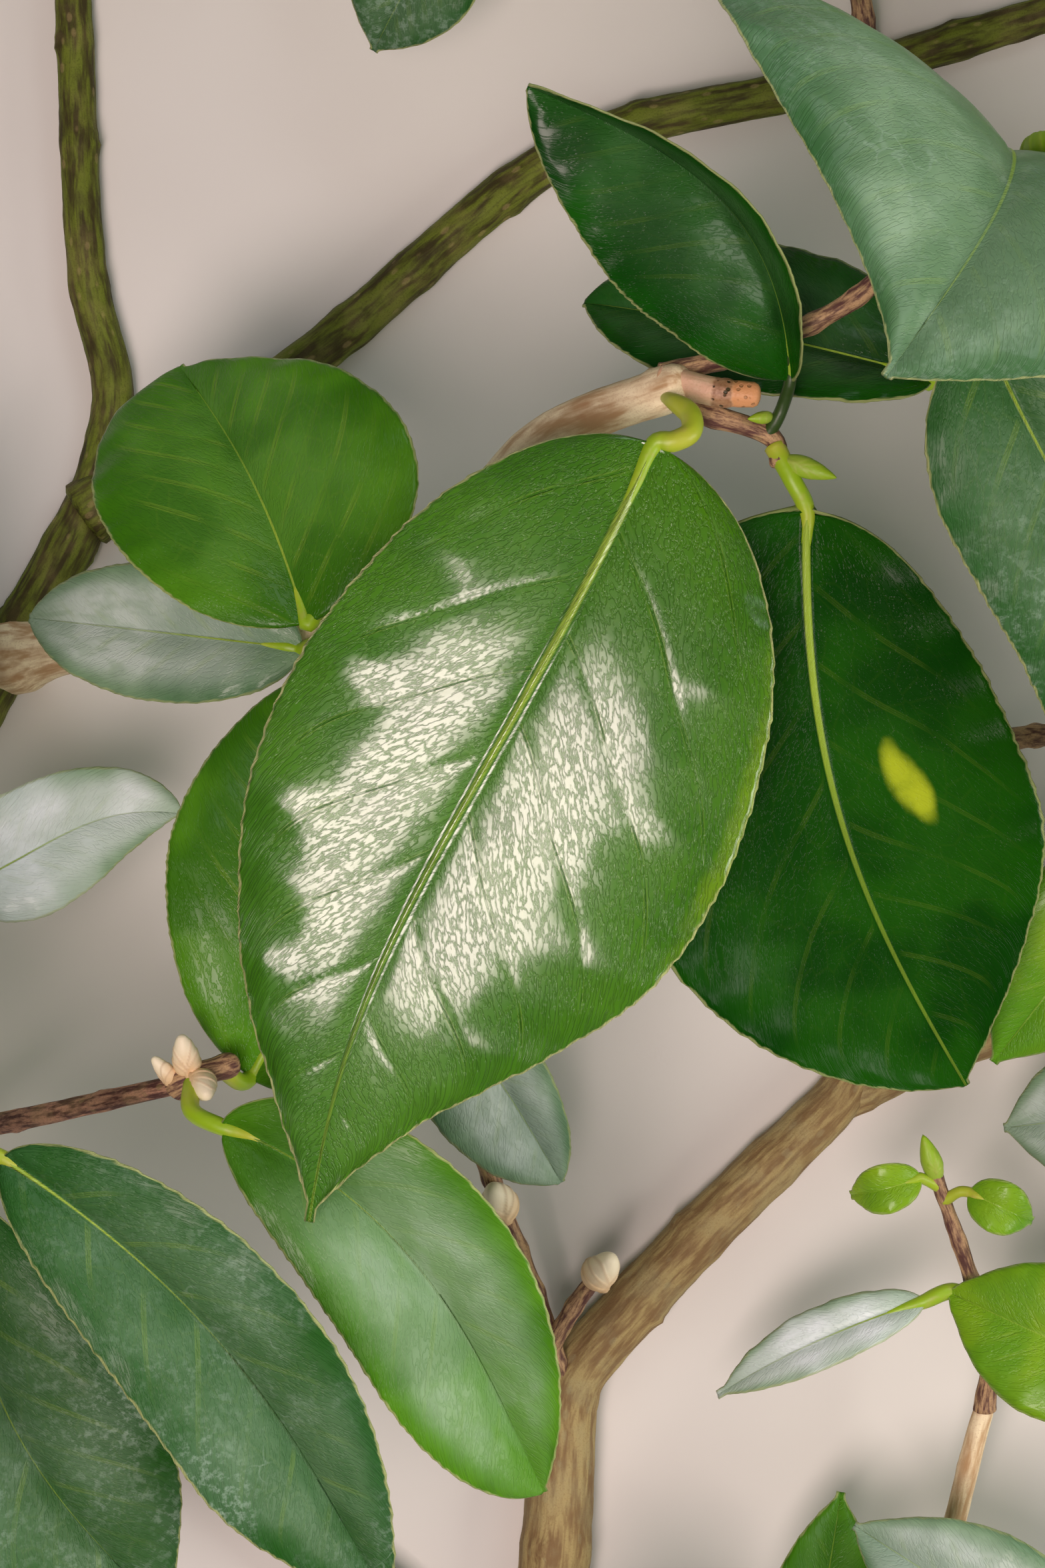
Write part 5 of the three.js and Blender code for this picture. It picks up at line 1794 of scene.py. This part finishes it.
def leaf_material(name, look):
    deep, fresh, bloom_and_painted_light, painted_sheen_amount, dusty, shine, gloss, veins, dark, wrinkle, margin, coat = look
    tree, shader = new_material("leaf_" + name)
    dust = use_group(tree, "Leaf Dust", {"Amount": dusty})["Mask"] if dusty >= DUSTY_FROM else 0
    skin = use_group(tree, "Leaf Skin", {
        "Deep": deep, "Fresh": fresh, "Rib": "rib_green",
        "Edge": "edge_cream", "Dust": "dust_white", "Dust Mask": dust,
        "Haze": bloom_and_painted_light, "Haze Amount": painted_sheen_amount, "Vein Dark": dark, "Gloss": gloss, "Vein Show": veins,
        "Wrinkle": wrinkle, "Margin Show": margin,
    })
    colour = skin["Color"]
    for place, shade, strength in LEAF_SPOTS.get(name, ()):
        spot = use_group(tree, "Leaf Spot", dict(zip(SPOT_INPUTS, place)))["Mask"]
        colour = tint(tree, times(tree, spot, strength), colour, shade)
    finish_shader(tree, shader, colour, skin["Roughness"], skin["Height"], LEAF_BUMP)
    shader.inputs["Specular IOR Level"].default_value = shine
    tree.links.new(times(tree, skin["Wax"], coat), shader.inputs["Coat Weight"])
    shader.inputs["Coat Roughness"].default_value = WAX_ROUGHNESS


def under_material():
    tree, shader = new_material("leaf_underside")
    veins = use_group(tree, "Leaf Veins", {"Line": 0.3})
    leather = use_group(tree, "Leaf Leather", {"Size": 0.8})
    place = object_place(tree)
    green = "under_green"
    cloud = band(tree, grain(tree, place, 110, 1.0), 0.35, 0.65)
    colour = tint(tree, times(tree, cloud, 0.5), green, "fresh_green")
    colour = tint(tree, times(tree, veins["Net"], 0.25), colour, "rib_green")
    colour = tint(tree, times(tree, veins["Vein"], 0.7), colour, "rib_green")
    colour = tint(tree, veins["Rib"], colour, "rib_green")
    colour = tint(tree, times(tree, veins["Margin"], 0.6), colour, "edge_cream")
    height = scaled(tree, veins["Vein"], 0.8, leather["Height"])
    rough = scaled(tree, leather["Height"], 0.15, 0.48)
    finish_shader(tree, shader, colour, rough, height, 0.08)


def stalk_material():
    tree, shader = new_material("leaf_stalk")
    place = object_place(tree)
    fine = grain(tree, place, 900, 1.0)
    cloud = band(tree, grain(tree, place, 140, 1.0), 0.35, 0.65)
    colour = tint(tree, cloud, "petiole_yellow", "bright_green")
    colour = tint(tree, times(tree, band(tree, fine, 0.55, 0.75), 0.2), colour, "bark_tan")
    # Painted shade: a petiole's tone darkens it towards the shade colour, as for a petiole in its leaf's
    # shadow.
    colour = tint(tree, tone_of(tree), colour, "stalk_dark")
    finish_shader(tree, shader, colour, scaled(tree, fine, 0.2, 0.32), fine, 0.08)


def bark_material(name, look):
    dark, middle, pale, fineness, bloom_and_painted_light, cracks, relief = look
    tree, shader = new_material(name)
    bark = use_group(tree, "Bark", {
        "Dark": dark, "Middle": middle, "Pale": pale, "Grain": fineness,
        "Bloom": bloom_and_painted_light, "Cracks": cracks,
    })
    finish_shader(tree, shader, bark["Color"], bark["Roughness"], bark["Height"], 0.22 * relief)
    shader.inputs["Specular IOR Level"].default_value = 0.25


def stub_material():
    """Smooth bark, then a dark ring with pits, then the worn end."""
    tree, shader = new_material("stub_bark")
    bark = use_group(tree, "Bark", {
        "Dark": "bark_tan", "Middle": "stub_pink", "Pale": "bark_sand",
        "Grain": 0.6, "Bloom": 0.4, "Cracks": 0.1,
    })
    place = attribute(tree, LIMB_PLACE).outputs["Vector"]
    uneven = scaled(tree, grain(tree, place, 1.6, 3.0), 0.8, numbers_of(tree, LIMB_PLACE)[2])
    low, high = STUB_RING
    worn = band(tree, uneven, high + 0.2, high + 0.6)
    ring = times(tree, band(tree, uneven, low + 0.2, low + 0.5), calc(tree, "SUBTRACT", 1, worn))
    patchy = times(tree, ring, scaled(tree, grain(tree, place, 2.4, 3.0), 1.1, 0.1))
    colour = tint(tree, patchy, bark["Color"], "stub_ring")
    colour = tint(tree, worn, colour, "stub_end")
    pitted = calc(tree, "MAXIMUM", ring, times(tree, worn, 0.4))
    pits = times(tree, band(tree, spots(tree, place, 1.5), 0.36, 0.2), pitted)
    colour = tint(tree, pits, colour, "bark_umber")
    height = scaled(tree, pits, -2.0, bark["Height"])
    finish_shader(tree, shader, colour, 0.5, height, 0.1)


def twig_material():
    """Twigs from brown to green, by their tone."""
    tree, shader = new_material("twig_bark")
    bark = use_group(tree, "Bark", {
        "Dark": "twig_purple", "Middle": "bark_tan", "Pale": "bark_straw",
        "Grain": 1.6, "Bloom": 0.12, "Cracks": 0.25,
    })
    tone = tone_of(tree)
    uneven = grain(tree, object_place(tree), 260, 3.0)
    green = band(tree, scaled(tree, uneven, 0.7, tone), 0.55, 1.0)
    colour = tint(tree, green, bark["Color"], "shoot_green")
    finish_shader(tree, shader, colour, bark["Roughness"], bark["Height"], 0.12)


def cut_material(name, sapwood, ring, radius, rings):
    tree, shader = new_material(name)
    cut = use_group(tree, "Cut Wood", {
        "Sapwood": sapwood, "Ring": ring, "Rim": "bark_umber",
        "Radius": radius, "Rings": rings,
    })
    finish_shader(tree, shader, cut["Color"], 0.72, cut["Height"], 0.2)


def bud_material(name, foot, tip, rim, lined):
    tree, shader = new_material(name)
    place = numbers_of(tree, BUD_PLACE)
    fine = grain(tree, object_place(tree), 1200, 3.0)
    share = band(tree, scaled(tree, fine, 0.4, place[0]), 0.3, 1.1)
    colour = tint(tree, share, foot, tip)
    colour = tint(tree, times(tree, place[1], lined), colour, rim)
    finish_shader(tree, shader, colour, scaled(tree, fine, 0.25, 0.38), fine, 0.06)


def make_materials():
    """All the finishes by name, made once."""
    if "leaf_underside" in bpy.data.materials:
        return bpy.data.materials
    for make in GROUP_MAKERS:
        make()
    for name, look in LEAF_LOOKS.items():
        leaf_material(name, look)
    under_material()
    stalk_material()
    for name, look in BARK_LOOKS.items():
        bark_material(name, look)
    twig_material()
    cut_material("stem_cut", "wood_pale", "wood_orange", 4.3, 5.0)
    stub_material()
    bud_material("green_bud", "rib_green", "bright_green", "bark_tan", 0.15)
    bud_material("tan_bud", "bud_ochre", "bud_tan", "bark_tan", 0.5)
    return bpy.data.materials


def leaf_finishes():
    found = make_materials()
    looks = {name: found["leaf_" + name] for name in LEAF_LOOKS}
    return {**looks, "under": found["leaf_underside"], "stalk": found["leaf_stalk"]}


def finer_sizes():
    """The depths of a leaf's teeth and veins in mm."""
    sizes = settings()[0]
    return {"tooth": sizes.tooth_depth / MM, "vein": sizes.vein_depth / MM}


plan = {}


def branch_plan():
    """The limbs and the sprays with all that grows on them, worked out once."""
    if not plan:
        plan["limbs"] = limb_curves()
        plan["sprays"] = planned_sprays(plan["limbs"])
    return plan["limbs"], plan["sprays"]


class CAMELLIA_OT_limbs(bpy.types.Operator):
    """Lay the stems and boughs, each length of bark in one piece"""

    bl_idname = "camellia.limbs"
    bl_label = "Stems and Boughs"

    def execute(self, context):
        limbs, _ = branch_plan()
        found = make_materials()
        relief = settings()[0].bark_relief / MM
        for seed, (name, (names, look)) in enumerate(BARK_LENGTHS.items()):
            path, distance, widths = chain_path(limbs, names)
            flare = radius_along(distance, widths, FORKS.get(names[0]))
            detail = THIN_LIMB_TUBE if widths.max() < THIN_LIMB else LIMB_TUBE
            mesh = tube(
                name, path, flare, **detail, attribute=LIMB_PLACE,
                relief=bark_relief(relief * BARK_LOOKS[look][-1] * min(1, widths.max() / 2.6), seed + 1.0),
                rounded=(0 if name == CUT_LENGTH else 0.2, 0.6), lying=True, cut_start=name == CUT_LENGTH,
            )
            piece = add_object(name, mesh, [found[look], found["stem_cut"]])
            fit(piece, "bark", *names)
        return {"FINISHED"}


class CAMELLIA_OT_stub(bpy.types.Operator):
    """Set the pruned stub with its weathered end"""

    bl_idname = "camellia.stub"
    bl_label = "Pruned Stub"

    def execute(self, context):
        limbs, _ = branch_plan()
        found = make_materials()
        radii, curve = limbs["pruned_stub"]
        start = curve.point(0) - curve.tangent(0) * STUB_BURIED
        path = [start, *curve.sample(20)]
        length = curve.length() + STUB_BURIED

        def radius_at(run):
            swollen = np.exp(-((run - STUB_RING[0] - 0.9) / 0.8) ** 2)
            worn = np.exp(-((run - STUB_RING[1]) / 0.3) ** 2)
            return np.interp(run, [0, length], (radii[0] * 1.1, radii[1])) + STUB_SWELL * (swollen - worn)

        mesh = tube(
            "pruned_stub_wood", path, radius_at, **STUB_TUBE, attribute=LIMB_PLACE,
            relief=bark_relief(0.07, 9.0, nodes=False), rounded=(0.2, 0.55),
        )
        piece = add_object("pruned_stub_wood", mesh, [found["stub_bark"]])
        fit(piece, "cut_wood", "pruned_stub")
        return {"FINISHED"}


class CAMELLIA_OT_twigs(bpy.types.Operator):
    """Grow the twigs and side shoots"""

    bl_idname = "camellia.twigs"
    bl_label = "Twigs"

    def execute(self, context):
        _, sprays = branch_plan()
        found = make_materials()
        for name, members in TWIG_PIECES.items():
            wanted = [(spray, i, twig) for spray in members for i, twig in enumerate(sprays[spray]["twigs"])]
            objects = []
            for cell, (spray, i, (radii, points)) in zip(cells(len(wanted)), wanted):
                kind = "own" if i < len(SPRAYS[spray]["twigs"]) else "grown" if radii[0] > 0.7 else "fine"
                own = f"{spray}_twig_{i}"
                mesh = twig_mesh(own, radii, points, kind == "own", SHOOT_TONES[kind], i + TWIG_START, cell)
                objects.append(add_object(own, mesh, [found["twig_bark"]]))
            fit(joined(name, objects), "bark", *members)
        return {"FINISHED"}


def is_own_piece(leaf):
    """Whether a leaf is large enough to be a piece of its own."""
    return leaf["rows"] >= BROAD["rows"]


class CAMELLIA_OT_near_leaves(bpy.types.Operator):
    """Shape the large leaves, each in a piece of its own"""

    bl_idname = "camellia.near_leaves"
    bl_label = "Near Leaves"

    def execute(self, context):
        _, sprays = branch_plan()
        looks = leaf_finishes()
        sizes = finer_sizes()
        seed = 0
        for spray, parts in sprays.items():
            for leaf in filter(is_own_piece, parts["leaves"]):
                seed += 1
                piece = leaf_object(leaf["name"], leaf, seed * NEAR_LEAF_STEP, WHOLE_CELL, looks, sizes)
                fit(piece, "foliage", spray)
        return {"FINISHED"}


class CAMELLIA_OT_spray_leaves(bpy.types.Operator):
    """Shape the other leaves, joined by spray"""

    bl_idname = "camellia.spray_leaves"
    bl_label = "Spray Leaves"

    def execute(self, context):
        _, sprays = branch_plan()
        looks = leaf_finishes()
        sizes = finer_sizes()
        for spray, parts in sprays.items():
            leaves = [leaf for leaf in parts["leaves"] if not is_own_piece(leaf)]
            if not leaves:
                continue
            dealt = GROWN_LOOKS.get(spray, ("fresh",))
            objects = []
            for i, (cell, leaf) in enumerate(zip(cells(len(leaves)), leaves)):
                dressed = leaf
                if leaf.get("grown") and leaf["look"] == "fresh":
                    dressed = {**leaf, "look": dealt[i % len(dealt)]}
                seed = i * LEAF_STEP + LEAF_START
                objects.append(leaf_object(f"{spray}_leaf_{i}", dressed, seed, cell, looks, sizes))
            fit(joined(spray + "_leaves", objects), "foliage", spray)
        return {"FINISHED"}


class CAMELLIA_OT_buds(bpy.types.Operator):
    """Set the buds with their scales"""

    bl_idname = "camellia.buds"
    bl_label = "Buds"

    def execute(self, context):
        _, sprays = branch_plan()
        found = make_materials()
        for name, look in BUD_PIECES.items():
            wanted = [
                (spray, i, bud) for spray, parts in sprays.items() for i, bud in enumerate(parts["buds"])
                if bud[3] == look
            ]
            objects = []
            for cell, (spray, i, (foot, tip, radius, _)) in zip(cells(len(wanted)), wanted):
                own = i < len(SPRAYS[spray]["buds"])
                shape = "round" if radius > ROUND_BUD else look
                mesh = bud_mesh(f"{spray}_bud_{i}", foot, tip, radius, shape, cell, own, i * BUD_STEP)
                objects.append(add_object(mesh.name, mesh, [found[look + "_bud"]]))
            members = sorted({spray for spray, _, _ in wanted})
            fit(joined(name, objects), "foliage", *members)
        return {"FINISHED"}


FLOOR_SIZE = 1.6
FLOOR_DROP = 0.00015
NEAR_CLIP = 0.01
ROOM_COLOUR = (0.95, 0.98, 1, 1)

# The lights: where each one stands, what it points at, its size and its colour.
LIGHTS = {
    "key_light": ((-0.116, -0.188, 0.742), (0.002, -0.01, 0.075), (0.186, 0.378), (1, 0.81, 0.78)),
    "fill_light": ((0.35, 0.5, 0.6), (0, 0, 0.03), (0.6, 0.4), (0.92, 0.96, 1)),
    "low_light": ((0.62, -0.2, 0.4), (0, 0, 0.03), (0.35, 0.35), (1, 0.95, 0.88)),
}


def area_light(name, place, target, size, power, colour):
    lamp = bpy.data.lights.new(name, "AREA")
    lamp.shape = "RECTANGLE"
    lamp.size, lamp.size_y = size
    lamp.energy = power
    lamp.color = colour
    made = bpy.data.objects.new(name, lamp)
    bpy.context.scene.collection.objects.link(made)
    made.location = Vector(place)
    made.rotation_euler = (Vector(target) - Vector(place)).to_track_quat("-Z", "Y").to_euler()
    made.visible_camera = False


class CAMELLIA_OT_stage(bpy.types.Operator):
    """Lay the floor and set the lights and the camera"""

    bl_idname = "camellia.stage"
    bl_label = "Floor, Lights and Camera"

    def execute(self, context):
        scene = context.scene
        chosen = scene.camellia_stage
        bm = bmesh.new()
        bmesh.ops.create_grid(bm, x_segments=1, y_segments=1, size=FLOOR_SIZE)
        bmesh.ops.translate(bm, vec=(0, 0, -FLOOR_DROP), verts=bm.verts[:])
        tree, shader = new_material("floor")
        cloud = grain(tree, object_place(tree), 6, 3.0)
        pale = tuple(chosen.floor)
        colour = tint(tree, band(tree, cloud, 0.3, 0.7), pale, tuple(value * 0.96 for value in pale))
        finish_shader(tree, shader, colour, 0.8, cloud, 0.02)
        material = bpy.data.materials["floor"]
        add_object("floor", to_mesh(bm, "floor"), [material])
        eye = bpy.data.objects.new("camera", bpy.data.cameras.new("camera"))
        scene.collection.objects.link(eye)
        eye.data.lens = chosen.lens
        eye.data.clip_start = NEAR_CLIP
        eye.location = (-MIDDLE[0] * MM, -MIDDLE[1] * MM, chosen.eye_height)
        scene.camera = eye
        for name, (place, target, size, colour) in LIGHTS.items():
            area_light(name, place, target, size, getattr(chosen, name), colour)
        world = bpy.data.worlds.new("room")
        world.use_nodes = True
        background = world.node_tree.nodes["Background"].inputs
        background["Color"].default_value = ROOM_COLOUR
        background["Strength"].default_value = chosen.sky
        scene.world = world
        scene.view_settings.view_transform = "Standard"
        return {"FINISHED"}


BUILD_STEPS = (
    "limbs", "stub", "twigs", "near_leaves", "spray_leaves", "buds", "stage",
)


class CAMELLIA_PT_panel(bpy.types.Panel):
    """Builds the branch step by step"""

    bl_label = "Camellia Branch"
    bl_idname = "CAMELLIA_PT_panel"
    bl_space_type = "VIEW_3D"
    bl_region_type = "UI"
    bl_category = "Camellia"

    def draw(self, context):
        for group in settings():
            box = self.layout.box()
            for name in group.__annotations__:
                box.prop(group, name)
        for step in BUILD_STEPS:
            self.layout.operator("camellia." + step)


CLASSES = (
    CamelliaSizes, CamelliaColours, CamelliaStage, CAMELLIA_OT_limbs, CAMELLIA_OT_stub, CAMELLIA_OT_twigs,
    CAMELLIA_OT_near_leaves, CAMELLIA_OT_spray_leaves, CAMELLIA_OT_buds, CAMELLIA_OT_stage,
    CAMELLIA_PT_panel,
)


def register():
    for item in CLASSES:
        bpy.utils.register_class(item)
    bpy.types.Scene.camellia_sizes = PointerProperty(type=CamelliaSizes)
    bpy.types.Scene.camellia_colours = PointerProperty(type=CamelliaColours)
    bpy.types.Scene.camellia_stage = PointerProperty(type=CamelliaStage)


def unregister():
    del bpy.types.Scene.camellia_stage
    del bpy.types.Scene.camellia_colours
    del bpy.types.Scene.camellia_sizes
    for item in reversed(CLASSES):
        bpy.utils.unregister_class(item)


def main():
    register()
    for step in BUILD_STEPS:
        getattr(bpy.ops.camellia, step)()


if __name__ == "__main__":
    main()
